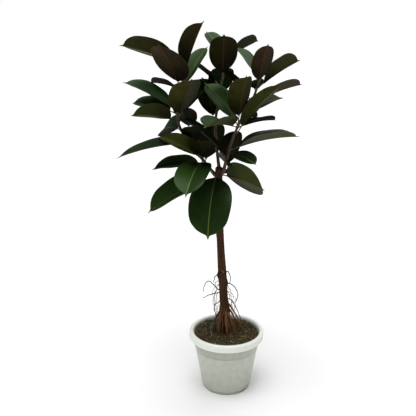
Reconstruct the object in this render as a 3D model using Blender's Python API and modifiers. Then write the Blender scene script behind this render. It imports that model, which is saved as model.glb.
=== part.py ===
"""A potted rubber plant (Ficus elastica) grown as a small standard tree.

A turned plastic pot with a rolled lip, a collar and a notched foot holds the soil. The trunk stands in
a socket in the soil on prop roots, dried aerial roots hang off it, and three stems carry the leaves.

Metres, +Z up. The origin is on the pot's axis, on the floor. Azimuth 0 is +X and 90 is +Y.
"""

import math
from collections import namedtuple

import bmesh
import bpy
from mathutils import Matrix, Vector

# ---- Fits ----
GAP = 0.0003                    # between pieces that touch
MERGE = 0.00002

# ---- Pot ----
POT_HEIGHT = 0.245
RIM_RADIUS = 0.150              # the lip at its widest
LIP_HEIGHT = 0.030
LIP_WIDTH = 0.018               # from the opening out to the lip's face
COLLAR_DROP = 0.070             # from the lip's top down to the collar's lower edge
COLLAR_OVERHANG = 0.001         # from the opening out to the collar, just under the lip
COLLAR_STEP = 0.002
COLLAR_TAPER = 0.0045           # how much narrower the collar is at its lower edge
BODY_TAPER = 0.0255             # how much narrower the body is at its foot than under the collar
BODY_EDGE = 0.010               # round lower edge of the body
WALL = 0.003
FOOT_HEIGHT = 0.012
FOOT_INSET = 0.007              # from the body's lower edge in to the foot
FOOT_WIDTH = 0.006
NOTCH_WIDTH = 0.016             # drainage notches through the foot
NOTCH_HEIGHT = 0.004
NOTCH_COUNT = 4
PAD_RADIUS = 0.015              # support pad under the floor's middle
DRAIN_RADIUS = 0.006
DRAIN_COUNT = 8
DRAFT = 0.001                   # taper that lets the foot and pad leave the mould
EASE = 0.002                    # small rounding under the lip and the collar
POT_STEPS = 32

# ---- Soil ----
SOIL_DROP = 0.018               # from the lip's top down to the soil's edge
MOUND = 0.012                   # how much higher the soil stands round the trunk
SOCKET_DEPTH = 0.090

# ---- Trunk and prop roots ----
TRUNK_HEIGHT = 0.684            # from the soil's edge up to the fork
TRUNK_LEAN = -0.034             # how far the fork stands off the pot's axis, along X
TRUNK_BASE_RADIUS = 0.0195
TRUNK_TOP_RADIUS = 0.0130
PROP_RADIUS = 0.0030
AERIAL_RADIUS = 0.0015

# ---- Crown. Stems and leaves are laid out in leaf lengths, so the crown grows with its leaves ----
LEAF_LENGTH = 0.200             # blade of a full-grown leaf, without its stalk
LEAF_WIDTH = 0.56 * LEAF_LENGTH
STALK_LENGTH = 0.16 * LEAF_LENGTH
STALK_RADIUS = 0.0021
BLADE_THICKNESS = 0.0012        # halfway out; a margin is an edge
MIDRIB_THICKNESS = 0.0034
STEM_RADIUS = 0.0062
STEM_TAPER = 0.42               # how much thinner a stem is at its tip
BUD_LENGTH = 0.045              # pointed bud that ends each stem
BUD_RADIUS = 0.0026

# Each stem leaves the fork and passes through these points, in leaf lengths from the fork.
STEMS = {
    "left": ((-0.42, -0.05, 0.33), (-0.70, -0.12, 0.74), (-0.76, -0.15, 1.08), (-0.68, -0.17, 1.52), (-0.60, -0.18, 1.90)),
    "middle": ((-0.07, 0.20, 0.72), (0.00, 0.34, 1.28), (0.09, 0.44, 1.74), (0.18, 0.48, 2.12)),
    "right": ((0.18, -0.10, 0.37), (0.30, -0.17, 0.72), (0.42, -0.21, 1.00), (0.58, -0.24, 1.28), (0.73, -0.27, 1.68)),
}
STEM_SEAT = {"left": -0.020, "middle": 0.0, "right": -0.008}    # seat height from the fork, in metres

# One row a leaf. height: above the fork, in leaf lengths. azimuth and elevation: the line from stalk to
# tip, in degrees. size: share of a full-grown leaf. breadth: share of its usual width. bend: how far the
# blade arches down. fold: how far each half rises from flat. roll: turn about its own line, in degrees.
Leaf = namedtuple("Leaf", "name stem height azimuth elevation size breadth bend fold roll")
LEAVES = [
    # left stem, from its tip down
    Leaf("leaf_left_01", "left", 1.80, -50, 58, 0.86, 1.15, 14, 44, 6),
    Leaf("leaf_left_02", "left", 1.88, 172, 17, 1.06, 1.12, 14, 26, 34),
    Leaf("leaf_left_03", "left", 1.50, -112, 42, 0.98, 1.20, 22, 8, -8),
    Leaf("leaf_left_04", "left", 1.46, 42, 50, 0.86, 0.85, 14, 32, 12),
    Leaf("leaf_left_05", "left", 1.48, 140, 6, 0.66, 0.90, 20, 28, 24),
    Leaf("leaf_left_06", "left", 1.10, 166, 25, 0.98, 1.00, 18, 30, -14),
    Leaf("leaf_left_07", "left", 0.94, -70, 43, 0.98, 1.10, 22, 22, 6),
    Leaf("leaf_left_08", "left", 1.04, 158, 10, 0.80, 1.00, 24, 26, -26),
    Leaf("leaf_left_09", "left", 0.98, 44, 34, 0.70, 0.85, 20, 30, 10),
    Leaf("leaf_left_10", "left", 0.92, -152, 9, 0.78, 1.25, 24, 28, 36),
    Leaf("leaf_left_11", "left", 0.74, 116, -7, 0.78, 1.30, 24, 16, -45),
    Leaf("leaf_left_12", "left", 0.17, -95, 32, 0.80, 1.10, 20, 14, 0),
    Leaf("leaf_left_13", "left", 0.51, 166, -14, 1.28, 0.94, 20, 18, -10),
    Leaf("leaf_left_14", "left", 0.44, -92, 34, 0.70, 0.95, 20, 22, 10),
    Leaf("leaf_left_15", "left", 0.19, -146, 30, 0.91, 1.08, 24, 18, 26),
    Leaf("leaf_left_16", "left", 0.04, 160, -6, 1.00, 0.95, 24, 28, -22),
    Leaf("leaf_left_17", "left", 1.16, 78, -30, 0.84, 1.00, 26, 22, 0),
    Leaf("leaf_left_18", "left", 0.15, -106, -22, 1.04, 1.10, 56, 16, 0),
    # middle stem, from its tip down
    Leaf("leaf_middle_01", "middle", 1.98, 124, 38, 0.72, 0.90, 12, 26, -12),
    Leaf("leaf_middle_02", "middle", 2.04, 40, 20, 0.72, 1.10, 16, 26, -44),
    Leaf("leaf_middle_03", "middle", 1.62, -88, 44, 1.00, 0.95, 22, 16, 0),
    Leaf("leaf_middle_04", "middle", 1.50, 150, 32, 0.76, 0.95, 22, 28, 20),
    Leaf("leaf_middle_05", "middle", 1.24, 82, 32, 0.94, 1.00, 26, 22, 0),
    Leaf("leaf_middle_06", "middle", 1.16, 40, -20, 0.92, 1.00, 26, 22, 0),
    Leaf("leaf_middle_07", "middle", 0.84, 108, 48, 0.94, 1.05, 20, 22, 0),
    Leaf("leaf_middle_08", "middle", 0.92, 104, -54, 1.02, 1.15, 26, 20, 0),
    Leaf("leaf_middle_09", "middle", 0.24, -77, -6, 0.66, 0.80, 10, 34, -46),
    # right stem, from its tip down
    Leaf("leaf_right_01", "right", 1.64, 128, 40, 0.76, 0.90, 14, 34, 4),
    Leaf("leaf_right_02", "right", 1.54, -84, 42, 0.94, 0.68, 20, 14, 0),
    Leaf("leaf_right_03", "right", 1.52, 28, 27, 0.86, 1.30, 16, 30, -42),
    Leaf("leaf_right_04", "right", 1.44, 90, 10, 0.72, 1.00, 24, 24, 0),
    Leaf("leaf_right_05", "right", 1.28, 148, 38, 0.76, 0.90, 20, 32, 10),
    Leaf("leaf_right_06", "right", 1.22, 24, 17, 0.98, 1.10, 20, 32, -14),
    Leaf("leaf_right_07", "right", 1.00, 42, 15, 0.94, 1.00, 22, 28, 12),
    Leaf("leaf_right_08", "right", 0.84, 138, 42, 0.92, 1.00, 24, 18, -14),
    Leaf("leaf_right_09", "right", 0.88, -83, 52, 0.96, 1.00, 20, 36, 14),
    Leaf("leaf_right_10", "right", 0.70, -24, 48, 1.05, 0.66, 20, 34, -36),
    Leaf("leaf_right_11", "right", 0.80, 36, 4, 0.80, 0.95, 22, 28, -10),
    Leaf("leaf_right_12", "right", 0.80, -122, 6, 0.98, 1.15, 24, 36, 4),
    Leaf("leaf_right_13", "right", 0.80, 104, -52, 0.92, 0.88, 24, 22, 0),
    Leaf("leaf_right_14", "right", 0.38, 4, 10, 1.14, 1.20, 24, 28, -4),
    Leaf("leaf_right_15", "right", 0.24, -172, 42, 0.95, 0.75, 12, 34, -16),
    Leaf("leaf_right_16", "right", 0.32, -46, -11, 0.60, 1.05, 24, 18, 18),
    # trunk, just below the fork
    Leaf("leaf_trunk_01", "trunk", -0.12, -47, -5, 0.95, 1.40, 20, 14, -58),
    Leaf("leaf_trunk_02", "trunk", -0.02, -106, -58, 1.20, 1.22, 48, 12, 0),
    Leaf("leaf_trunk_03", "trunk", -0.18, 176, -29, 1.30, 1.10, 24, 26, -24),
    Leaf("leaf_trunk_04", "trunk", -0.14, 66, -14, 1.00, 1.05, 30, 22, 0),
]

# Where along the blade its sections stand, and the blade's half-width there as a share of the widest.
OUTLINE = ((0.04, 0.34), (0.15, 0.74), (0.32, 0.97), (0.52, 1.00), (0.72, 0.86), (0.86, 0.52), (0.93, 0.13), (1.00, 0.02))
STALK_SPANS = 2

# One row a prop root: azimuth in degrees, height where it leaves the trunk, distance out where it lands.
PROP_ROOTS = ((-125, 0.150, 0.055), (-88, 0.125, 0.036), (-48, 0.120, 0.052), (-4, 0.160, 0.070),
              (31, 0.135, 0.054), (76, 0.120, 0.050), (132, 0.130, 0.054), (172, 0.125, 0.052))

# One list a dried root: (out from the trunk's axis, azimuth in degrees, height above the soil), then on.
AERIAL_ROOTS = {
    "aerial_root_1": ((-96, 0.270), ((0.030, -150, 0.256), (0.036, -158, 0.240), (0.038, -163, 0.225))),
    "aerial_root_2": ((178, 0.190), ((0.028, 184, 0.200), (0.042, 188, 0.220), (0.054, 189, 0.230),
                                     (0.066, 188, 0.226), (0.076, 186, 0.208), (0.080, 185, 0.184))),
    "aerial_root_3": ((200, 0.182), ((0.040, 196, 0.178), (0.064, 193, 0.172), (0.086, 192, 0.162))),
    "aerial_root_4": ((214, 0.150), ((0.028, 212, 0.142), (0.040, 206, 0.136), (0.046, 203, 0.118),
                                     (0.043, 204, 0.096), (0.038, 206, 0.080))),
    "aerial_root_5": ((-30, 0.268), ((0.024, -14, 0.270), (0.031, -8, 0.250), (0.032, -6, 0.232),
                                     (0.025, -12, 0.216))),
    "aerial_root_6": ((-40, 0.224), ((0.032, -26, 0.222), (0.050, -18, 0.206), (0.058, -14, 0.180),
                                     (0.054, -16, 0.156), (0.042, -22, 0.140))),
    "aerial_root_7": ((8, 0.150), ((0.030, 6, 0.144), (0.042, 2, 0.120), (0.054, 0, 0.090), (0.064, -2, 0.056))),
}

COLOURS = {                     # (red, green, blue), roughness
    "pot": ((0.72, 0.76, 0.68), 0.45),
    "soil": ((0.045, 0.030, 0.020), 0.95),
    "bark": ((0.115, 0.052, 0.028), 0.85),
    "root": ((0.090, 0.060, 0.045), 0.90),
    "leaf": ((0.022, 0.052, 0.024), 0.35),
}

# ---- Sizes worked out from those above ----
SOIL_EDGE = POT_HEIGHT - SOIL_DROP
OPENING_RADIUS = RIM_RADIUS - LIP_WIDTH
COLLAR_RADIUS = OPENING_RADIUS + COLLAR_OVERHANG
BODY_TOP_RADIUS = COLLAR_RADIUS - COLLAR_TAPER - COLLAR_STEP
BODY_FOOT_RADIUS = BODY_TOP_RADIUS - BODY_TAPER
FOOT_RADIUS = BODY_FOOT_RADIUS - FOOT_INSET
FLOOR = FOOT_HEIGHT + WALL
LIP_FOOT = POT_HEIGHT - LIP_HEIGHT
COLLAR_FOOT = POT_HEIGHT - COLLAR_DROP


def direction(azimuth, elevation):
    """The unit vector that points that way."""
    a = math.radians(azimuth)
    e = math.radians(elevation)
    return Vector((math.cos(a) * math.cos(e), math.sin(a) * math.cos(e), math.sin(e)))


def inner_radius(z):
    """The pot's inner wall at that height: the body's slope, then a steeper one out to the opening."""
    share = (z - FOOT_HEIGHT) / (COLLAR_FOOT - FOOT_HEIGHT)
    if share <= 1.0:
        return BODY_FOOT_RADIUS - WALL + BODY_TAPER * share
    above = (z - COLLAR_FOOT) / (POT_HEIGHT - LIP_WIDTH / 2 - COLLAR_FOOT)
    narrow = BODY_TOP_RADIUS - WALL
    return narrow + (OPENING_RADIUS - narrow) * above


def soil_top(radius):
    """The soil's height at that distance from the pot's axis: a low mound round the trunk."""
    share = min(1.0, radius / OPENING_RADIUS)
    return SOIL_EDGE + MOUND * (1 - share) ** 1.5


# ---- Scene, materials and plain shapes ----
def clear_scene():
    for item in list(bpy.data.objects):
        bpy.data.objects.remove(item, do_unlink=True)


def new_collection(name, hidden=False):
    made = bpy.data.collections.new(name)
    made.hide_render = hidden
    bpy.context.scene.collection.children.link(made)
    return made


def material(name):
    found = bpy.data.materials.get(name)
    if found:
        return found
    colour, roughness = COLOURS[name]
    made = bpy.data.materials.new(name)
    made.use_nodes = True
    shader = made.node_tree.nodes["Principled BSDF"]
    shader.inputs["Base Color"].default_value = (*colour, 1.0)
    shader.inputs["Roughness"].default_value = roughness
    return made


def add_object(name, data, finish, collection):
    made = bpy.data.objects.new(name, data)
    data.materials.append(material(finish))
    collection.objects.link(made)
    return made


def tube(name, points, radii, finish, collection, sides=8):
    """A tube along the points, with its own radius at each, as a mesh closed at both ends."""
    path = bpy.data.curves.new(name, "CURVE")
    path.dimensions = "3D"
    path.bevel_depth = 1.0
    path.bevel_resolution = (sides - 4) // 2
    path.use_fill_caps = True
    spline = path.splines.new("POLY")
    spline.points.add(len(points) - 1)
    for place, point, radius in zip(spline.points, points, radii):
        place.co = (*point, 1.0)
        place.radius = radius
    guide = bpy.data.objects.new(name + "_path", path)
    collection.objects.link(guide)
    mesh = bpy.data.meshes.new_from_object(guide.evaluated_get(bpy.context.evaluated_depsgraph_get()))
    world = guide.matrix_world.copy()
    bpy.data.objects.remove(guide)
    work = bmesh.new()
    work.from_mesh(mesh)
    bmesh.ops.remove_doubles(work, verts=work.verts, dist=MERGE)
    bmesh.ops.recalc_face_normals(work, faces=work.faces)
    work.to_mesh(mesh)
    work.free()
    mesh.materials.clear()
    made = add_object(name, mesh, finish, collection)
    made.matrix_world = world
    mesh.shade_smooth()
    mesh.set_sharp_from_angle(angle=math.radians(50))
    return made


def turned(name, outline, finish, collection, steps):
    """A solid turned about Z from (radius, height) points that start and end on the axis."""
    mesh = bpy.data.meshes.new(name)
    points = [(radius, 0.0, height) for radius, height in outline]
    mesh.from_pydata(points, [(i, i + 1) for i in range(len(points) - 1)], [])
    made = add_object(name, mesh, finish, collection)
    screw = made.modifiers.new("Turn", "SCREW")
    screw.steps = steps
    screw.render_steps = steps
    screw.use_merge_vertices = True
    screw.merge_threshold = MERGE
    screw.use_smooth_shade = True
    return made


def arc(centre, radius, start, end, count):
    """Points of an arc in the (radius, height) plane, angles in degrees."""
    turns = [math.radians(start + (end - start) * i / count) for i in range(count + 1)]
    return [(centre[0] + radius * math.cos(t), centre[1] + radius * math.sin(t)) for t in turns]


def cut(target, cutter):
    """Takes the cutter out of the target, and hides the cutter."""
    step = target.modifiers.new("Cut " + cutter.name, "BOOLEAN")
    step.operation = "DIFFERENCE"
    step.object = cutter
    cutter.hide_render = True
    cutter.display_type = "WIRE"


def smooth_path(points, spans):
    """Points read from a smooth curve through the given ones."""
    ends = [points[0] * 2 - points[1], *points, points[-1] * 2 - points[-2]]
    found = []
    for before, start, end, after in zip(ends, ends[1:], ends[2:], ends[3:]):
        for i in range(spans):
            t = i / spans
            found.append(0.5 * (2 * start + (end - before) * t
                                + (2 * before - 5 * start + 4 * end - after) * t ** 2
                                + (3 * start - before - 3 * end + after) * t ** 3))
    return [*found, points[-1]]


# ---- Pot and soil ----
def make_pot(collection, cutters):
    lip_round = LIP_WIDTH / 2
    lip_top = arc((RIM_RADIUS - lip_round, POT_HEIGHT - lip_round), lip_round, 135, 12, 5)
    lip_edge = arc((RIM_RADIUS - 2 * EASE, LIP_FOOT + 2 * EASE), 2 * EASE, 0, -70, 2)
    body_edge = arc((BODY_FOOT_RADIUS - BODY_EDGE, FOOT_HEIGHT + BODY_EDGE), BODY_EDGE, -15, -90, 3)
    foot_inside = FOOT_RADIUS - FOOT_WIDTH
    outline = [
        (0.0, FLOOR),
        (inner_radius(FLOOR), FLOOR),
        (inner_radius(COLLAR_FOOT), COLLAR_FOOT),
        (OPENING_RADIUS, POT_HEIGHT - lip_round),
        *lip_top,
        *lip_edge,
        (COLLAR_RADIUS + EASE, LIP_FOOT + EASE / 2),
        (COLLAR_RADIUS, LIP_FOOT - EASE),
        (COLLAR_RADIUS - COLLAR_TAPER, COLLAR_FOOT + EASE),
        (BODY_TOP_RADIUS, COLLAR_FOOT),
        *body_edge,
        (FOOT_RADIUS, FOOT_HEIGHT),
        (FOOT_RADIUS - DRAFT, 0.0),
        (foot_inside, 0.0),
        (foot_inside - DRAFT, FOOT_HEIGHT),
        (PAD_RADIUS + DRAFT, FOOT_HEIGHT),
        (PAD_RADIUS, 0.0),
        (0.0, 0.0),
    ]
    pot = turned("pot", outline, "pot", collection, POT_STEPS)
    drain_circle = (PAD_RADIUS + foot_inside) / 2
    for i in range(DRAIN_COUNT):
        turn = 360 * (i + 0.5) / DRAIN_COUNT
        place = direction(turn, 0) * drain_circle + Vector((0, 0, FLOOR - WALL / 2))
        bpy.ops.mesh.primitive_cylinder_add(vertices=10, radius=DRAIN_RADIUS, depth=4 * WALL, location=place)
        move_to(bpy.context.object, f"drain_cutter_{i}", cutters)
        cut(pot, bpy.context.object)
    for i in range(NOTCH_COUNT):
        turn = 360 * (i + 0.5) / NOTCH_COUNT
        place = direction(turn, 0) * (FOOT_RADIUS - FOOT_WIDTH / 2)
        bpy.ops.mesh.primitive_cube_add(
            size=1.0, location=place, rotation=(0, 0, math.radians(turn)),
            scale=(3 * FOOT_WIDTH, NOTCH_WIDTH, 2 * NOTCH_HEIGHT))
        move_to(bpy.context.object, f"notch_cutter_{i}", cutters)
        cut(pot, bpy.context.object)


def move_to(item, name, collection):
    item.name = name
    for other in list(item.users_collection):
        other.objects.unlink(item)
    collection.objects.link(item)


def make_soil(collection):
    socket = TRUNK_BASE_RADIUS + GAP
    bottom = FLOOR + GAP
    edge = inner_radius(SOIL_EDGE) - GAP
    surface = [(r, soil_top(r)) for r in (socket, edge / 4, edge / 2, edge * 3 / 4, edge)]
    outline = [
        (0.0, SOIL_EDGE - SOCKET_DEPTH),
        (socket, SOIL_EDGE - SOCKET_DEPTH),
        *surface,
        (inner_radius(COLLAR_FOOT) - GAP, COLLAR_FOOT),
        (inner_radius(bottom) - GAP, bottom),
        (0.0, bottom),
    ]
    turned("soil", outline, "soil", collection, POT_STEPS)


# ---- Trunk, roots and stems ----
def trunk_axis(height):
    """The trunk's middle at that height above the soil's edge. It leans less and less as it rises."""
    share = max(0.0, height - MOUND) / (TRUNK_HEIGHT - MOUND)
    return Vector((TRUNK_LEAN * math.sin(math.pi / 2 * min(1.0, share)), 0.0, SOIL_EDGE + height))


def trunk_radius(height):
    share = min(1.0, max(0.0, height / TRUNK_HEIGHT))
    return TRUNK_TOP_RADIUS + (TRUNK_BASE_RADIUS - TRUNK_TOP_RADIUS) * (1 - share) ** 1.6


def fork():
    return trunk_axis(TRUNK_HEIGHT)


PROP_SPANS = 6
PROP_BOW = 0.9                  # how far a prop root bows out, in trunk radii
PROP_TAPER = 0.25               # how much thinner it is where it lands


def prop_root(index, azimuth, height, reach, collection):
    """A root that leaves the trunk, bows outwards and lands on the soil."""
    start = trunk_axis(height)
    out = direction(azimuth, 0)
    landing = out * reach
    landing.z = soil_top(reach) + GAP + PROP_RADIUS * 0.8
    foot = landing.z
    points = []
    for i in range(PROP_SPANS + 1):
        s = i / PROP_SPANS
        point = start.lerp(landing, s ** 1.3)
        point += out * trunk_radius(height) * PROP_BOW * math.sin(math.pi * s) ** 0.8
        point.z = start.z + (foot - start.z) * s
        points.append(point)
    radii = [PROP_RADIUS * (1.0 - PROP_TAPER * i / PROP_SPANS) for i in range(PROP_SPANS + 1)]
    return tube(f"prop_root_{index}", points, radii, "bark", collection, 6)


def make_trunk(collection, cutters):
    heights = [-SOCKET_DEPTH + GAP * 2, MOUND * 1.5]
    count = 8
    heights += [MOUND * 1.5 + (TRUNK_HEIGHT - MOUND * 1.5) * (i + 1) / count for i in range(count)]
    points = [trunk_axis(h) for h in heights]
    trunk = tube("trunk", points, [trunk_radius(h) for h in heights], "bark", collection, 12)
    for i, (azimuth, height, reach) in enumerate(PROP_ROOTS):
        root = prop_root(i, azimuth, height, reach, cutters)
        root.hide_render = True
        root.display_type = "WIRE"
        join = trunk.modifiers.new("Grow " + root.name, "BOOLEAN")
        join.operation = "UNION"
        join.object = root


def seat(parent_point, parent_way, parent_radius, way, radius):
    """Where a tube that leaves a round parent that way starts, just clear of the parent's side."""
    out = (way - parent_way * way.dot(parent_way)).normalized()
    cap = radius * math.sqrt(max(0.0, 1 - way.dot(out) ** 2))
    return parent_point + out * (parent_radius + GAP + cap)


def stem_path(name):
    """The stem's points from its seat at the fork to its tip."""
    up = Vector((0, 0, 1))
    knots = [fork() + Vector(point) * LEAF_LENGTH for point in STEMS[name]]
    root = fork() + up * STEM_SEAT[name]
    way = (knots[0] - root).normalized()
    start = seat(root, up, TRUNK_TOP_RADIUS, way, STEM_RADIUS)
    if name == "middle":
        way = up
        start = root + up * GAP
    return [start, *smooth_path([start + way * STEM_RADIUS, *knots], 3)]


def stem_radii(count):
    return [STEM_RADIUS * (1.0 - STEM_TAPER * i / (count - 1)) for i in range(count)]


def make_stem(name, collection):
    """A stem and the pointed bud at its tip, which grow as one."""
    points = stem_path(name)
    radii = stem_radii(len(points))
    way = (points[-1] - points[-2]).normalized()
    bud = ((0.10, 1.0), (0.45, 0.85), (1.0, 0.12))
    points = points + [points[-1] + way * BUD_LENGTH * share for share, _ in bud]
    radii = radii + [BUD_RADIUS * share for _, share in bud]
    tube("stem_" + name, points, radii, "bark", collection, 8)


def on_stem(name, height):
    """(point, way, radius) of the trunk or a stem at that height above the fork, in leaf lengths."""
    if name == "trunk":
        above = TRUNK_HEIGHT + height * LEAF_LENGTH
        return trunk_axis(above), Vector((0, 0, 1)), trunk_radius(above)
    points = stem_path(name)
    radii = stem_radii(len(points))
    z = fork().z + height * LEAF_LENGTH
    for low, high, r_low, r_high in zip(points, points[1:], radii, radii[1:]):
        if low.z <= z <= high.z:
            share = (z - low.z) / (high.z - low.z)
            return low.lerp(high, share), (high - low).normalized(), r_low + (r_high - r_low) * share
    return points[-1], (points[-1] - points[-2]).normalized(), radii[-1]


def make_aerial_root(name, collection):
    """A dried root that sprouts from the trunk and hangs free."""
    (azimuth, height), rest = AERIAL_ROOTS[name]
    first = trunk_axis(height)
    places = []
    for reach, turn, above in rest:
        point = trunk_axis(above) + direction(turn, 0) * reach
        places.append(point)
    way = direction(azimuth, 0)
    start = seat(first, Vector((0, 0, 1)), trunk_radius(height), way, AERIAL_RADIUS)
    points = [start, *smooth_path([start + way * AERIAL_RADIUS, *places], 2)]
    tube(name, points, [AERIAL_RADIUS] * len(points), "root", collection, 6)


# ---- Leaves ----
def leaf_frames(leaf):
    """(point, along, across, up) down the leaf's line: stalk stations, then one for each blade section."""
    size = leaf.size
    stalk = STALK_LENGTH * size
    blade = LEAF_LENGTH * size
    reaches = [stalk * i / STALK_SPANS for i in range(STALK_SPANS + 1)]
    reaches += [stalk + blade * share for share, _ in OUTLINE]
    start_way = direction(leaf.azimuth, leaf.elevation + leaf.bend / 2)
    parent, parent_way, parent_radius = on_stem(leaf.stem, leaf.height)
    point = seat(parent, parent_way, parent_radius, start_way, STALK_RADIUS)
    frames = []
    previous = 0.0
    for reach in reaches:
        middle = (reach + previous) / 2 / (stalk + blade)
        point = point + direction(leaf.azimuth, leaf.elevation + leaf.bend * (0.5 - middle)) * (reach - previous)
        here = leaf.elevation + leaf.bend * (0.5 - reach / (stalk + blade))
        along = direction(leaf.azimuth, here)
        up = direction(leaf.azimuth, here + 90)
        turn = Matrix.Rotation(math.radians(leaf.roll) * min(1.0, reach / stalk), 3, along)
        up = turn @ up
        frames.append((point, along, up.cross(along) * -1.0, up))
        previous = reach
    return frames


def leaf_sections(leaf):
    """Rings of eight points: right margin, over the upper face to the left margin, and back below."""
    frames = leaf_frames(leaf)
    rings = []
    for point, _, across, up in frames[:STALK_SPANS + 1]:
        turns = [math.radians(45 * i) for i in range(8)]
        rings.append([point + (across * math.cos(t) + up * math.sin(t)) * STALK_RADIUS for t in turns])
    fold = math.radians(leaf.fold)
    for (point, _, across, up), (_, width) in zip(frames[STALK_SPANS + 1:], OUTLINE):
        half = LEAF_WIDTH / 2 * leaf.size * leaf.breadth * width
        rib = MIDRIB_THICKNESS / 2 * (0.25 + 0.75 * min(1.0, 3 * width))
        thin = BLADE_THICKNESS / 2 * (0.4 + 0.6 * width)
        side = (0.55 * half * math.cos(fold), 0.55 * half * math.sin(fold))
        margin = (half * math.cos(fold), half * math.sin(fold) * 0.94)
        flat = [(margin[0], margin[1]), (side[0], side[1] + thin), (0.0, thin),
                (-side[0], side[1] + thin), (-margin[0], margin[1]), (-side[0], side[1] - thin),
                (0.0, -2 * rib + thin), (side[0], side[1] - thin)]
        rings.append([point + across * a + up * u for a, u in flat])
    return rings


def make_leaf(leaf, collection):
    """A loft from the round stalk to the folded blade and its drip tip."""
    work = bmesh.new()
    rings = [[work.verts.new(place) for place in ring] for ring in leaf_sections(leaf)]
    for low, high in zip(rings, rings[1:]):
        for i in range(8):
            j = (i + 1) % 8
            work.faces.new((low[i], low[j], high[j], high[i]))
    work.faces.new(rings[0][::-1])
    work.faces.new(rings[-1])
    bmesh.ops.recalc_face_normals(work, faces=work.faces)
    mesh = bpy.data.meshes.new(leaf.name)
    work.to_mesh(mesh)
    work.free()
    mesh.shade_smooth()
    add_object(leaf.name, mesh, "leaf", collection)


def main():
    clear_scene()
    plant = new_collection("Potted rubber plant")
    cutters = new_collection("Cutters", hidden=True)
    make_pot(plant, cutters)
    make_soil(plant)
    make_trunk(plant, cutters)
    for name in STEMS:
        make_stem(name, plant)
    for name in AERIAL_ROOTS:
        make_aerial_root(name, plant)
    for leaf in LEAVES:
        make_leaf(leaf, plant)


main()
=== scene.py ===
import math
import random
from collections import namedtuple

import bmesh
import bpy
import numpy as np
from mathutils import Matrix, Vector, noise


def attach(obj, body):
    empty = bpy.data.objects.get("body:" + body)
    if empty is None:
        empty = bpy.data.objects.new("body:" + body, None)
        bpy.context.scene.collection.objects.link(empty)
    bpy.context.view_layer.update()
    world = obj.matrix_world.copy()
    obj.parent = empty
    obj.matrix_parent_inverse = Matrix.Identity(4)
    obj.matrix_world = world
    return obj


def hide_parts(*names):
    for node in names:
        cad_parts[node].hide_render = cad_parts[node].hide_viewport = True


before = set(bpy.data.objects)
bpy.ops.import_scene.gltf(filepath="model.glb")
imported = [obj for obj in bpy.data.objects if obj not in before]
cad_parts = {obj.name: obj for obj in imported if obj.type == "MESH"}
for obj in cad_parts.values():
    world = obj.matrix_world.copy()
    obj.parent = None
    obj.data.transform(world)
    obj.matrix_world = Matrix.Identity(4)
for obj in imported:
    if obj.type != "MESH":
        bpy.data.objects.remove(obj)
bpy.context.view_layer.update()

# ---- Sizes of the CAD part, repeated ----
GAP = 0.0003
POT_HEIGHT = 0.245
RIM_RADIUS = 0.150
LIP_HEIGHT = 0.030
LIP_WIDTH = 0.018
COLLAR_DROP = 0.070
COLLAR_OVERHANG = 0.001
COLLAR_STEP = 0.002
COLLAR_TAPER = 0.0045
BODY_TAPER = 0.0255
BODY_EDGE = 0.010
WALL = 0.003
FOOT_HEIGHT = 0.012
FOOT_INSET = 0.007
FOOT_WIDTH = 0.006
NOTCH_WIDTH = 0.016
NOTCH_HEIGHT = 0.004
NOTCH_COUNT = 4
PAD_RADIUS = 0.015
DRAIN_RADIUS = 0.006
DRAIN_COUNT = 8
DRAFT = 0.001
EASE = 0.002
SOIL_DROP = 0.018
MOUND = 0.012
TRUNK_HEIGHT = 0.684
TRUNK_LEAN = -0.034
TRUNK_BASE_RADIUS = 0.0195
TRUNK_TOP_RADIUS = 0.0130
PROP_RADIUS = 0.0030
AERIAL_RADIUS = 0.0015
LEAF_LENGTH = 0.200
LEAF_WIDTH = 0.56 * LEAF_LENGTH
STALK_LENGTH = 0.16 * LEAF_LENGTH
STALK_RADIUS = 0.0021
BLADE_THICKNESS = 0.0012
STEM_RADIUS = 0.0062
STEM_TAPER = 0.42
BUD_LENGTH = 0.045
BUD_RADIUS = 0.0026
SOIL_EDGE = POT_HEIGHT - SOIL_DROP
OPENING_RADIUS = RIM_RADIUS - LIP_WIDTH
COLLAR_RADIUS = OPENING_RADIUS + COLLAR_OVERHANG
BODY_TOP_RADIUS = COLLAR_RADIUS - COLLAR_TAPER - COLLAR_STEP
BODY_FOOT_RADIUS = BODY_TOP_RADIUS - BODY_TAPER
FOOT_RADIUS = BODY_FOOT_RADIUS - FOOT_INSET
FLOOR = FOOT_HEIGHT + WALL
LIP_FOOT = POT_HEIGHT - LIP_HEIGHT
COLLAR_FOOT = POT_HEIGHT - COLLAR_DROP

# Points of each stem, in leaf lengths from the fork.
STEMS = {
    "left": ((-0.42, -0.05, 0.33), (-0.70, -0.12, 0.74), (-0.76, -0.15, 1.08), (-0.68, -0.17, 1.52),
             (-0.60, -0.18, 1.90)),
    "middle": ((-0.07, 0.20, 0.72), (0.00, 0.34, 1.28), (0.09, 0.44, 1.74), (0.18, 0.48, 2.12)),
    "right": ((0.18, -0.10, 0.37), (0.30, -0.17, 0.72), (0.42, -0.21, 1.00), (0.58, -0.24, 1.28),
              (0.73, -0.27, 1.68)),
}
STEM_SEAT = {"left": -0.020, "middle": 0.0, "right": -0.008}

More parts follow.
